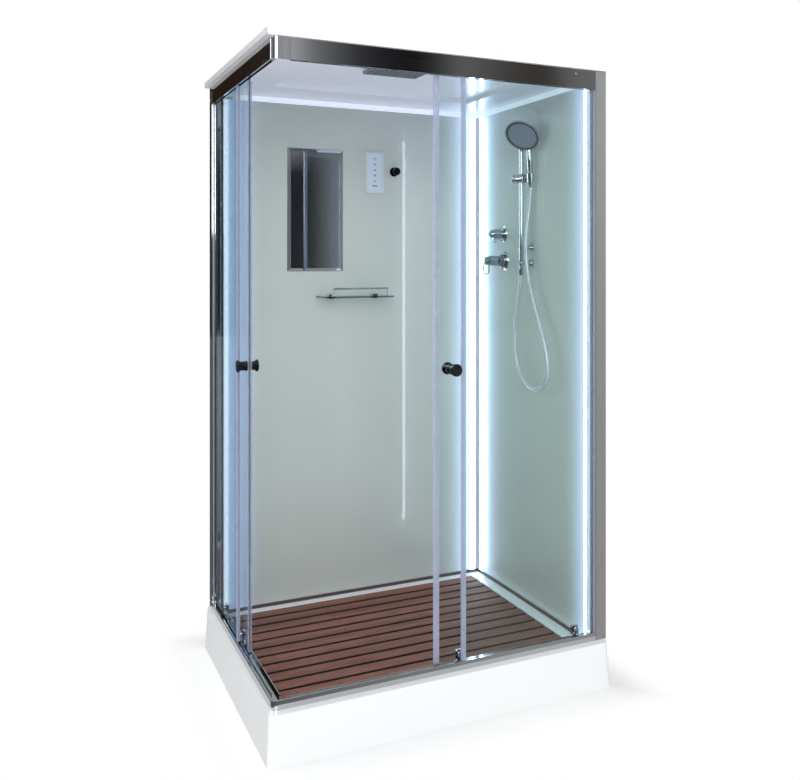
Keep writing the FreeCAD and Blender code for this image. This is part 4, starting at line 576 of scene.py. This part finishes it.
def painted_glass(name, across, strips, through, middle, pale, deep):
    """Painted glass with a painted glow beside its strips, on the room's side: it emits light there and its
    colour is tinted cold.

    The strips are (from, to) in mm along one axis, and middle is the middle of the
    glass along the other, in metres.
    """
    finish, tree = new_finish(name)
    where = add(tree, "TexCoord")
    cloud = add(tree, "TexNoise", {"Vector": where.outputs["Object"], "Scale": per_metre(625), "Detail": 2})
    mint = add(tree, "Mix", {0: cloud.outputs[0], 6: linear(deep), 7: linear(pale)}, data_type="RGBA")
    roller = add(tree, "TexNoise", {"Vector": where.outputs["Object"], "Scale": per_metre(111), "Detail": 1})
    wave = add(tree, "Bump", {"Height": roller.outputs[0], "Strength": 0.02, "Distance": 0.004})
    place = add(tree, "SeparateXYZ", {0: where.outputs["Object"]})
    nearest = None
    for first, last in strips:
        centre = (first + last) / 2000
        off = add(tree, "Math", {0: place.outputs[across], 1: centre}, operation="SUBTRACT")
        off = add(tree, "Math", {0: off.outputs[0]}, operation="ABSOLUTE")
        gap = add(tree, "Math", {0: off.outputs[0], 1: (last - first) / 2000}, operation="SUBTRACT")
        if nearest:
            gap = add(tree, "Math", {0: gap.outputs[0], 1: nearest.outputs[0]}, operation="MINIMUM")
        nearest = gap
    # Painted glow: beside the strips the glass emits light and its colour takes a cold tint, fading over
    # GLOW_REACH.
    fall = add(tree, "MapRange", {0: nearest.outputs[0], 1: 0, 2: GLOW_REACH, 3: 1, 4: 0})
    soft = add(tree, "Math", {0: fall.outputs[0], 1: GLOW_FALL}, operation="POWER")
    room_side = add(tree, "Math", {0: place.outputs[through], 1: middle}, operation="LESS_THAN")
    soft = add(tree, "Math", {0: soft.outputs[0], 1: room_side.outputs[0]}, operation="MULTIPLY")
    glow = add(tree, "Math", {0: soft.outputs[0], 1: GLOW}, operation="MULTIPLY")
    left = add(tree, "Math", {0: place.outputs["X"], 1: 0}, operation="LESS_THAN")
    painted_glow_tint = add(tree, "Mix", {
        0: left.outputs[0], 6: linear("#BCC8DA"), 7: linear("#9DB2D6"),
    }, data_type="RGBA")
    light = add(tree, "Mix", {
        0: left.outputs[0], 6: linear("#C3D2FF"), 7: linear("#AFC4FF"),
    }, data_type="RGBA")
    tone = add(tree, "Mix", {
        0: soft.outputs[0], 6: mint.outputs[2], 7: painted_glow_tint.outputs[2],
    }, data_type="RGBA")
    wall = add(tree, "BsdfPrincipled", {
        "Base Color": tone.outputs[2], "Roughness": 0.28, "Coat Weight": 1, "Coat Roughness": 0.02,
        "Coat Normal": wave.outputs[0], "Emission Color": light.outputs[2],
        "Emission Strength": glow.outputs[0],
    })
    add(tree, "OutputMaterial", {0: wall.outputs[0]})
    return finish


back_glass = painted_glass(
    "back_painted_glass_back", "X", ((-537, -512), (519, 544)), "Y", 0.418, "#C2C9C5", "#BAC1BD",
)
# Painted light: the right wall is the same glass as the back wall, given a lighter mint so that it looks
# more brightly lit.
lightened_right_glass = painted_glass(
    "back_painted_glass_right", "Y", ((-371, -346), (372, 397)), "X", 0.565, "#D1D4D1", "#C9CCCA",
)
dress(back_glass, "back_wall")
dress(lightened_right_glass, "right_wall")

# Upright studs stand behind both walls and stiffen them. They are powder coated in
# white, which leaves a fine dull grain.
white_frame, tree = new_finish("white_powder_coat")
where = add(tree, "TexCoord")
grit = add(tree, "TexNoise", {"Vector": where.outputs["Object"], "Scale": per_metre(1.11), "Detail": 1})
rough = add(tree, "Bump", {"Height": grit.outputs[0], "Strength": 0.1, "Distance": 0.0003})
coat = add(tree, "BsdfPrincipled", {
    "Base Color": linear("#E9EAEC"), "Roughness": 0.4, "Normal": rough.outputs[0],
})
add(tree, "OutputMaterial", {0: coat.outputs[0]})
dress(white_frame, "wall_studs")

# Bronze anodised skirting seals the walls to the tray, and a satin lilac-grey strip
# covers the joint in the corner. The bronze ends at the skirting's top edge, in mm.
SKIRTING_TOP = 133.5
trim_metal, tree = new_finish("anodised_wall_trim")
where = add(tree, "TexCoord")
height = add(tree, "SeparateXYZ", {0: where.outputs["Object"]})
upright = add(tree, "MapRange", {
    0: height.outputs["Z"], 1: SKIRTING_TOP / 1000, 2: (SKIRTING_TOP + 1) / 1000, 3: 0, 4: 1,
})
brush = add(tree, "TexNoise", {"Vector": where.outputs["Object"], "Scale": per_metre(3.33), "Detail": 2})
tone = add(tree, "Mix", {
    0: upright.outputs[0], 6: linear("#5A4745"), 7: linear("#AFADBC"),
}, data_type="RGBA")
polish = add(tree, "MapRange", {0: brush.outputs[0], 3: 0.3, 4: 0.45})
metal = add(tree, "BsdfPrincipled", {
    "Base Color": tone.outputs[2], "Metallic": 0.5, "Roughness": polish.outputs[0],
})
add(tree, "OutputMaterial", {0: metal.outputs[0]})
dress(trim_metal, "wall_trims")

# Strips of cold white light stand in the corners and round the ceiling, behind opal
# covers. The cove starts at COVE_FOOT and is run much lower. The left strip, seen from
# its side, is dim and fades towards its edges. Places are in mm.
COVE_FOOT = (2057.5, 2059.2)
LEFT_STRIP = -524.5
LEFT_STRIP_FADE = (3, 12.5)
opal, tree = new_finish("opal_acrylic_cover")
where = add(tree, "TexCoord")
soft = add(tree, "TexNoise", {"Vector": where.outputs["Object"], "Scale": per_metre(40), "Detail": 1})
height = add(tree, "SeparateXYZ", {0: where.outputs["Object"]})
level = add(tree, "MapRange", {0: soft.outputs[0], 3: 6.4, 4: 7.2})
cove = add(tree, "MapRange", {
    0: height.outputs["Z"], 1: COVE_FOOT[0] / 1000, 2: COVE_FOOT[1] / 1000, 3: 1, 4: 0.06,
})
level = add(tree, "Math", {0: level.outputs[0], 1: cove.outputs[0]}, operation="MULTIPLY")
out = add(tree, "Math", {0: height.outputs["X"], 1: LEFT_STRIP / 1000}, operation="SUBTRACT")
out = add(tree, "Math", {0: out.outputs[0]}, operation="ABSOLUTE")
lens_edge = add(tree, "MapRange", {
    0: out.outputs[0], 1: LEFT_STRIP_FADE[0] / 1000, 2: LEFT_STRIP_FADE[1] / 1000, 3: 0.26, 4: 0.08,
}, interpolation_type="SMOOTHSTEP")
weak = add(tree, "Math", {0: height.outputs["X"], 1: -0.5}, operation="LESS_THAN")
far = add(tree, "Mix", {0: weak.outputs[0], 2: 1, 3: lens_edge.outputs[0]}, data_type="FLOAT")
level = add(tree, "Math", {0: level.outputs[0], 1: far.outputs[0]}, operation="MULTIPLY")
cover = add(tree, "BsdfPrincipled", {
    "Base Color": linear("#EEF3FB"), "Roughness": 0.35, "Emission Color": linear("#E4EBFF"),
    "Emission Strength": level.outputs[0],
})
add(tree, "OutputMaterial", {0: cover.outputs[0]})
dress(opal, "light_diffusers")

# The roof is sucked from white acrylic sheet like the tray's, with a stepped ceiling. Inside it is painted
# faintly lilac, a painted tint of the strips' light; it is plain white above its rim, and its left edge is
# painted greyer, as painted shade. The supply pipes that hang from it are chromed. Places are in mm.
RIM_FOOT = 2099.5
SHADED_LEFT_EDGE = -594.5
ceiling_acrylic, tree = new_finish("vacuum_formed_ceiling_acrylic")
where = add(tree, "TexCoord")
peel = add(tree, "TexNoise", {"Vector": where.outputs["Object"], "Scale": per_metre(16.7), "Detail": 2})
ripple = add(tree, "Bump", {"Height": peel.outputs[0], "Strength": 0.03, "Distance": 0.002})
height = add(tree, "SeparateXYZ", {0: where.outputs["Object"]})
# Painted shade makes the left edge greyer, and a painted lilac tint of the strips' light lies inside the
# rim.
edge = add(tree, "Math", {0: height.outputs["X"], 1: SHADED_LEFT_EDGE / 1000}, operation="LESS_THAN")
above = add(tree, "Math", {0: height.outputs["Z"], 1: RIM_FOOT / 1000}, operation="GREATER_THAN")
tone = add(tree, "Mix", {
    0: above.outputs[0], 6: linear("#F0EDFA"), 7: linear("#F4F4F4"),
}, data_type="RGBA")
tone = add(tree, "Mix", {
    0: edge.outputs[0], 6: tone.outputs[2], 7: linear("#C4C4C6"),
}, data_type="RGBA")
paint = add(tree, "BsdfPrincipled", {
    "Base Color": tone.outputs[2], "Roughness": 0.3, "Coat Weight": 0.3, "Coat Roughness": 0.15,
    "Normal": ripple.outputs[0],
})
add(tree, "OutputMaterial", {0: paint.outputs[0]})
dress(ceiling_acrylic, "roof")
dress(plated, "supply_pipes")

# The overhead shower is a square plate of stainless steel, 200 mm wide, on a short stem under the ceiling. A
# grid of dimples is pressed into its underside, and each is painted dark inside as painted shade. The middle
# of the underside and the dimples' pitch, rim and depth are in mm.
RAIN_CENTRE = (-78, -200, 2084)
RAIN_PITCH = 15.5
DIMPLE_RIM = (5.6, 6.6)
DIMPLE_DEPTH = (0.4, 1)
rain_plate, tree = new_finish("pressed_stainless_plate")
where = add(tree, "TexCoord")
from_middle = add(tree, "VectorMath", {
    0: where.outputs["Object"], 1: [c / 1000 for c in RAIN_CENTRE],
}, operation="SUBTRACT")
spot = add(tree, "SeparateXYZ", {0: from_middle.outputs[0]})
reach = []
for axis in ("X", "Y"):
    moved = add(tree, "Math", {0: spot.outputs[axis], 1: RAIN_PITCH / 2000}, operation="ADD")
    folded = add(tree, "Math", {0: moved.outputs[0], 1: RAIN_PITCH / 2000}, operation="PINGPONG")
    reach.append(add(tree, "Math", {0: folded.outputs[0], 1: 2}, operation="POWER"))
square = add(tree, "Math", {0: reach[0].outputs[0], 1: reach[1].outputs[0]}, operation="ADD")
radius = add(tree, "Math", {0: square.outputs[0], 1: 0.5}, operation="POWER")
inner, outer = (way / 1000 for way in DIMPLE_RIM)
# Painted shade: a dark disc inside each dimple on the underside.
painted_dimple_shade = add(tree, "MapRange", {0: radius.outputs[0], 1: inner, 2: outer, 3: 1, 4: 0})
foot, top = (height / 1000 for height in DIMPLE_DEPTH)
below = add(tree, "MapRange", {0: spot.outputs["Z"], 1: foot, 2: top, 3: 1, 4: 0})
painted_dimple_shade = add(tree, "Math", {0: painted_dimple_shade.outputs[0], 1: below.outputs[0]}, operation="MULTIPLY")
tone = add(tree, "Mix", {
    0: painted_dimple_shade.outputs[0], 6: linear("#8E929A"), 7: linear("#16181C"),
}, data_type="RGBA")
metal = add(tree, "BsdfPrincipled", {
    "Base Color": tone.outputs[2], "Metallic": 0.6, "Roughness": 0.24,
})
add(tree, "OutputMaterial", {0: metal.outputs[0]})
dress(rain_plate, "rain_head")

# Soft dark silicone nozzles come through the plate, one in each dimple, in twelve rows
# of twelve. They are moulded in one mat and dull, with a fine grain.
silicone, tree = new_finish("moulded_dark_silicone")
where = add(tree, "TexCoord")
grit = add(tree, "TexNoise", {"Vector": where.outputs["Object"], "Scale": per_metre(1.11), "Detail": 2})
matt = add(tree, "MapRange", {0: grit.outputs[0], 3: 0.45, 4: 0.65})
body = add(tree, "BsdfPrincipled", {"Base Color": linear("#1E222C"), "Roughness": matt.outputs[0]})
add(tree, "OutputMaterial", {0: body.outputs[0]})
RAIN_NOZZLE_OUTLINE = ((0, 1.8), (1.6, 1.8), (3.0, 0.6), (4.4, 0), (4.4, -0.4))
steps_out = [RAIN_PITCH * (i - 5.5) for i in range(12)]
rain_x, rain_y, rain_z = RAIN_CENTRE
rain_spots = [((rain_x + x, rain_y + y, rain_z), (0, 0, -1)) for x in steps_out for y in steps_out]
turned_piece("rain_nozzles", RAIN_NOZZLE_OUTLINE, silicone, "cabin", rain_spots, 8)

# The mirror is 5 mm silvered glass with a wide ground bevel, glued to the back wall.
# Its silver is a touch lilac, and it is almost perfectly smooth.
silvered, tree = new_finish("silvered_glass")
where = add(tree, "TexCoord")
age = add(tree, "TexNoise", {"Vector": where.outputs["Object"], "Scale": per_metre(200), "Detail": 2})
polish = add(tree, "MapRange", {0: age.outputs[0], 3: 0.0, 4: 0.03})
face = add(tree, "BsdfPrincipled", {
    "Base Color": linear("#D6D3DA"), "Metallic": 1, "Roughness": polish.outputs[0],
})
add(tree, "OutputMaterial", {0: face.outputs[0]})
dress(silvered, "mirror")

# The control panel is a shallow tray moulded from pale grey ABS, which is satin with a
# very fine grain. It is set on the back wall beside the mirror.
panel_plastic, tree = new_finish("pale_grey_moulded_abs")
where = add(tree, "TexCoord")
grit = add(tree, "TexNoise", {"Vector": where.outputs["Object"], "Scale": per_metre(0.83), "Detail": 1})
rough = add(tree, "Bump", {"Height": grit.outputs[0], "Strength": 0.06, "Distance": 0.0003})
body = add(tree, "BsdfPrincipled", {
    "Base Color": linear("#C6CAD0"), "Roughness": 0.3, "Normal": rough.outputs[0],
})
add(tree, "OutputMaterial", {0: body.outputs[0]})
dress(panel_plastic, "control_panel")


# A sheet of matt polyester, 0.5 mm thick, fills the panel's frame over its switches. Its
# face, its middle line and its corners are in mm.
def flat_object(name, outline_sets, depth, finish, body):
    """Thin plates that stand square to Y, each from corners (x, z) and the y of its back, in mm."""
    shape = bmesh.new()
    for back, corners in outline_sets:
        points = [shape.verts.new((x / 1000, back / 1000, z / 1000)) for x, z in corners]
        face = shape.faces.new(points)
        grown = bmesh.ops.extrude_face_region(shape, geom=[face])
        moved = [part for part in grown["geom"] if isinstance(part, bmesh.types.BMVert)]
        bmesh.ops.translate(shape, verts=moved, vec=(0, -depth / 1000, 0))
    bmesh.ops.recalc_face_normals(shape, faces=shape.faces)
    piece = solid_object(name, shape, finish)
    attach(piece, body)
    return piece


membrane, tree = new_finish("printed_polyester_membrane")
where = add(tree, "TexCoord")
grit = add(tree, "TexNoise", {"Vector": where.outputs["Object"], "Scale": per_metre(0.67), "Detail": 1})
rough = add(tree, "Bump", {"Height": grit.outputs[0], "Strength": 0.08, "Distance": 0.0002})
body = add(tree, "BsdfPrincipled", {
    "Base Color": linear("#C6D0E0"), "Roughness": 0.32, "Normal": rough.outputs[0],
})
add(tree, "OutputMaterial", {0: body.outputs[0]})
PANEL_FACE = 404.5
PANEL_MIDDLE = 78
sheet = [(47.3, 1731.3), (108.7, 1731.3), (108.7, 1880.7), (47.3, 1880.7)]
flat_object("panel_membrane", [(PANEL_FACE, sheet)], 0.5, membrane, "cabin")

# Plain signs are screen printed on the sheet in dark blue ink, which lies on it as a
# thin layer: power, light, up, down, a ring, and a bar for the display.
print_ink, tree = new_finish("screen_printed_ink")
where = add(tree, "TexCoord")
grit = add(tree, "TexNoise", {"Vector": where.outputs["Object"], "Scale": per_metre(1.43), "Detail": 1})
worn = add(tree, "Mix", {
    0: grit.outputs[0], 6: linear("#1C2E3C"), 7: linear("#2A3E4E"),
}, data_type="RGBA")
body = add(tree, "BsdfPrincipled", {"Base Color": worn.outputs[2], "Roughness": 0.5})
add(tree, "OutputMaterial", {0: body.outputs[0]})


def arc_bars(z, radius, first, last, count, thick):
    """Short bars that make up an arc round the panel's middle line, angles in degrees."""
    bars = []
    for step in range(count):
        a0 = math.radians(first + (last - first) * step / count)
        a1 = math.radians(first + (last - first) * (step + 1) / count)
        ring = [(radius, a0), (radius, a1), (radius - thick, a1), (radius - thick, a0)]
        bars.append([(PANEL_MIDDLE + r * math.cos(a), z + r * math.sin(a)) for r, a in ring])
    return bars


def bar_at(z, width, height):
    """The corners of an upright bar in the middle of the panel."""
    half = width / 2
    return [
        (PANEL_MIDDLE - half, z - height / 2), (PANEL_MIDDLE + half, z - height / 2),
        (PANEL_MIDDLE + half, z + height / 2), (PANEL_MIDDLE - half, z + height / 2),
    ]


power = arc_bars(1862, 5.5, 125, 415, 16, 1.5) + [bar_at(1866, 1.5, 6)]
lamp = arc_bars(1840, 3.2, 0, 360, 12, 3.0) + [bar_at(1840, 13, 1.2)]
up = [[(PANEL_MIDDLE - 5, 1814), (PANEL_MIDDLE + 5, 1814), (PANEL_MIDDLE, 1822)]]
down = [[(PANEL_MIDDLE, 1790), (PANEL_MIDDLE + 5, 1798), (PANEL_MIDDLE - 5, 1798)]]
ring = arc_bars(1772, 4, 0, 360, 12, 1.4)
signs = power + lamp + up + down + ring + [bar_at(1753, 22, 4)]
sheet_face = PANEL_FACE - 0.5
inked = [(sheet_face, corners) for corners in signs]
flat_object("panel_signs", inked, 0.15, print_ink, "cabin")

# The robe hook beside the panel is a turned knob on a round plate, plated in the same
# dark chrome as the door knobs.
dress(dark_chrome, "robe_hook")

# The shelf is 6 mm toughened glass, held by two plated clamps on the back wall, with a
# thin plated rail along its front.
glass_shelf = clear_pane("toughened_glass_shelf", "#E6F0EE", "#7FA39E", "Z")
dress(glass_shelf, "shelf_glass")
dress(plated, "shelf_clamps", "shelf_rail")

# The valve body is a brass casting behind the right wall, with plated rose plates in
# front. Its caps and lever are plated in a darker, smoked chrome.
smoked = bright_metal("smoked_chrome_plate", "#B2B6C0", 0.05, 0.12, (25, 25, 25))
dress(plated, "valve_body", "valve_plates")
dress(smoked, "mixer_cap", "diverter_knob", "mixer_lever")

# The riser is a plated tube between two brackets. On it run the slider and the holder,
# which are plated plastic, and in the holder's cone stands the hand shower.
dress(plated, "riser_bar", "wall_fittings", "slider", "holder", "hand_shower")

# The spray face is a round plate moulded from lilac-grey plastic. It is satin, with a
# fine grain, and snaps into the head of the hand shower.
spray_plastic, tree = new_finish("grey_moulded_spray_face")
where = add(tree, "TexCoord")
grit = add(tree, "TexNoise", {"Vector": where.outputs["Object"], "Scale": per_metre(1.67), "Detail": 1})
rough = add(tree, "Bump", {"Height": grit.outputs[0], "Strength": 0.08, "Distance": 0.0003})
body = add(tree, "BsdfPrincipled", {
    "Base Color": linear("#9C9FB4"), "Roughness": 0.3, "Normal": rough.outputs[0],
})
add(tree, "OutputMaterial", {0: body.outputs[0]})
dress(spray_plastic, "spray_face")

# Rings of dark silicone nozzles stand in the spray face, inside a ring of dark chrome.
# The face leans with the holder: turned to the room, tipped forward, then down, in
# degrees. The rows of SPRAY_RINGS are a radius in mm and a number of nozzles.
HOLDER_PLACE = (0.53457, -0.03557, 1.764)
HOLDER_TURN = -59
HAND_LEAN = 6
HEAD_PLACE = (0, -0.046, 0.161)
FACE_TILT = 127
holder_frame = (
    Matrix.Translation(HOLDER_PLACE) @ Matrix.Rotation(math.radians(HOLDER_TURN), 4, "Z")
    @ Matrix.Rotation(math.radians(HAND_LEAN), 4, "X")
)
face_frame = (
    holder_frame @ Matrix.Translation(HEAD_PLACE)
    @ Matrix.Rotation(math.radians(FACE_TILT), 4, "X")
)
face_axis = face_frame.to_3x3() @ Vector((0, 0, 1))
FACE_TOP = 3.3


def on_face(radius, angle):
    """A spot on the spray face, so many mm from its middle."""
    flat = Vector((radius * math.cos(angle), radius * math.sin(angle), FACE_TOP)) / 1000
    return (tuple(face_frame @ flat * 1000), tuple(face_axis))


SPRAY_RINGS = ((6, 5), (13, 10), (22, 10), (30, 18), (38, 24), (46, 30), (53, 36))
spray_spots = [
    on_face(radius, math.tau * i / count) for radius, count in SPRAY_RINGS for i in range(count)
]
SPRAY_NOZZLE_OUTLINE = ((0, 1.6), (1.1, 1.6), (1.7, 0.4), (2.3, 0), (2.3, -0.3))
turned_piece("spray_nozzles", SPRAY_NOZZLE_OUTLINE, silicone, "hand_shower", spray_spots, 8)
FACE_RING_OUTLINE = ((57, -0.2), (57, 0.7), (58.4, 1.0), (60.6, 0.9), (61.6, -0.2))
turned_piece(
    "spray_face_ring", FACE_RING_OUTLINE, dark_chrome, "hand_shower", (on_face(0, 0),), 64,
)


# The shower hose is 14 mm vinyl with a silver spiral, 1.38 m long. It leaves the cone
# of the hand shower, hangs in a loop and ends in the elbow under the riser. Its route
# and sizes are in metres.
HOSE_DIAMETER = 0.014
HOSE_ROUTE = (
    (0.53654, -0.03439, 1.74212), (0.54057, -0.03197, 1.69737), (0.535, -0.027, 1.638),
    (0.526, -0.022, 1.562), (0.520, -0.027, 1.484), (0.516, -0.048, 1.400),
    (0.513, -0.082, 1.318), (0.511, -0.124, 1.240), (0.509, -0.164, 1.166),
    (0.508, -0.191, 1.100), (0.508, -0.195, 1.038), (0.508, -0.168, 0.988),
    (0.508, -0.112, 0.966), (0.508, -0.048, 0.986), (0.508, 0.003, 1.032),
    (0.509, 0.031, 1.100), (0.510, 0.034, 1.174), (0.511, 0.024, 1.250),
    (0.513, 0.008, 1.318), (0.515, -0.003, 1.370), (0.515, -0.003, 1.420),
)
line = bpy.data.curves.new("hose_line", "CURVE")
line.dimensions = "3D"
line.resolution_u = 12
spline = line.splines.new("NURBS")
spline.points.add(len(HOSE_ROUTE) - 1)
for point, place in zip(spline.points, HOSE_ROUTE):
    point.co = (*place, 1)
spline.order_u = 3
spline.use_endpoint_u = True
former = bpy.data.objects.new("hose_line", line)
bpy.context.scene.collection.objects.link(former)
thread = bpy.data.meshes.new_from_object(former)
hose_path = [tuple(vertex.co) for vertex in thread.vertices]
line.bevel_depth = HOSE_DIAMETER / 2
line.bevel_resolution = 6
line.use_fill_caps = True
bpy.context.view_layer.update()
tube = bpy.data.meshes.new_from_object(former)
bpy.data.objects.remove(former)

# A strip of silver foil is wound inside the clear vinyl, one turn every 4 mm, which
# shows as fine bright rings. The attribute run is the way along the hose, in metres.
FOIL_PITCH = 0.004
run = tube.attributes.new("run", "FLOAT", "POINT")
ring_size = len(tube.vertices) // len(hose_path)
gone = [0.0]
for before, after in zip(hose_path, hose_path[1:]):
    gone.append(gone[-1] + math.dist(before, after))
for vertex in tube.vertices:
    run.data[vertex.index].value = gone[min(vertex.index // ring_size, len(gone) - 1)]
silver_vinyl, tree = new_finish("silver_spiral_vinyl")
along = add(tree, "Attribute", attribute_name="run")
pitch = add(tree, "Math", {0: along.outputs["Fac"], 1: math.tau / FOIL_PITCH}, operation="MULTIPLY")
wave = add(tree, "Math", {0: pitch.outputs[0]}, operation="SINE")
turns = add(tree, "MapRange", {0: wave.outputs[0], 1: -1, 2: 1})
rib = add(tree, "Bump", {"Height": turns.outputs[0], "Strength": 0.5, "Distance": 0.0006})
tone = add(tree, "Mix", {
    0: turns.outputs[0], 6: linear("#C2C3CE"), 7: linear("#F6F5FB"),
}, data_type="RGBA")
skin = add(tree, "BsdfPrincipled", {
    "Base Color": tone.outputs[2], "Metallic": 0.5, "Roughness": 0.2, "Coat Weight": 1,
    "Coat Roughness": 0.08, "Normal": rib.outputs[0],
})
add(tree, "OutputMaterial", {0: skin.outputs[0]})
tube.materials.clear()
tube.materials.append(silver_vinyl)
for polygon in tube.polygons:
    polygon.use_smooth = True
hose = bpy.data.objects.new("shower_hose", tube)
bpy.context.scene.collection.objects.link(hose)
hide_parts("hose")
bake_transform(hose)

# A plated cone nut closes each end, screwed onto the hand shower's foot above and the
# wall elbow below. The upper one is short, to clear the wall when the holder tilts.
# Outlines are (radius, height) in mm.
NUT_OUTLINE = (
    (7.2, 26), (8.4, 25.6), (8.8, 24), (10.6, 11), (11.2, 10), (11.2, 0.6), (10.6, -0.2), (9.6, -0.2),
)
SHORT_NUT_OUTLINE = (
    (7.1, 13), (7.7, 12.7), (8.4, 11), (9.6, 3), (9.9, 2), (9.9, 0.4), (9.4, -0.2), (8.6, -0.2),
)
nut_way = -(holder_frame.to_3x3() @ Vector((0, 0, 1)))
top_nut = turned_piece(
    "hose_nut_top", SHORT_NUT_OUTLINE, plated, "hand_shower",
    ((tuple(Vector(HOSE_ROUTE[0]) * 1000), tuple(nut_way)),), 28,
)
low_nut = turned_piece(
    "hose_nut_low", NUT_OUTLINE, plated, "cabin", (((515, -3, 1420), (0, 0, -1)),), 28
)
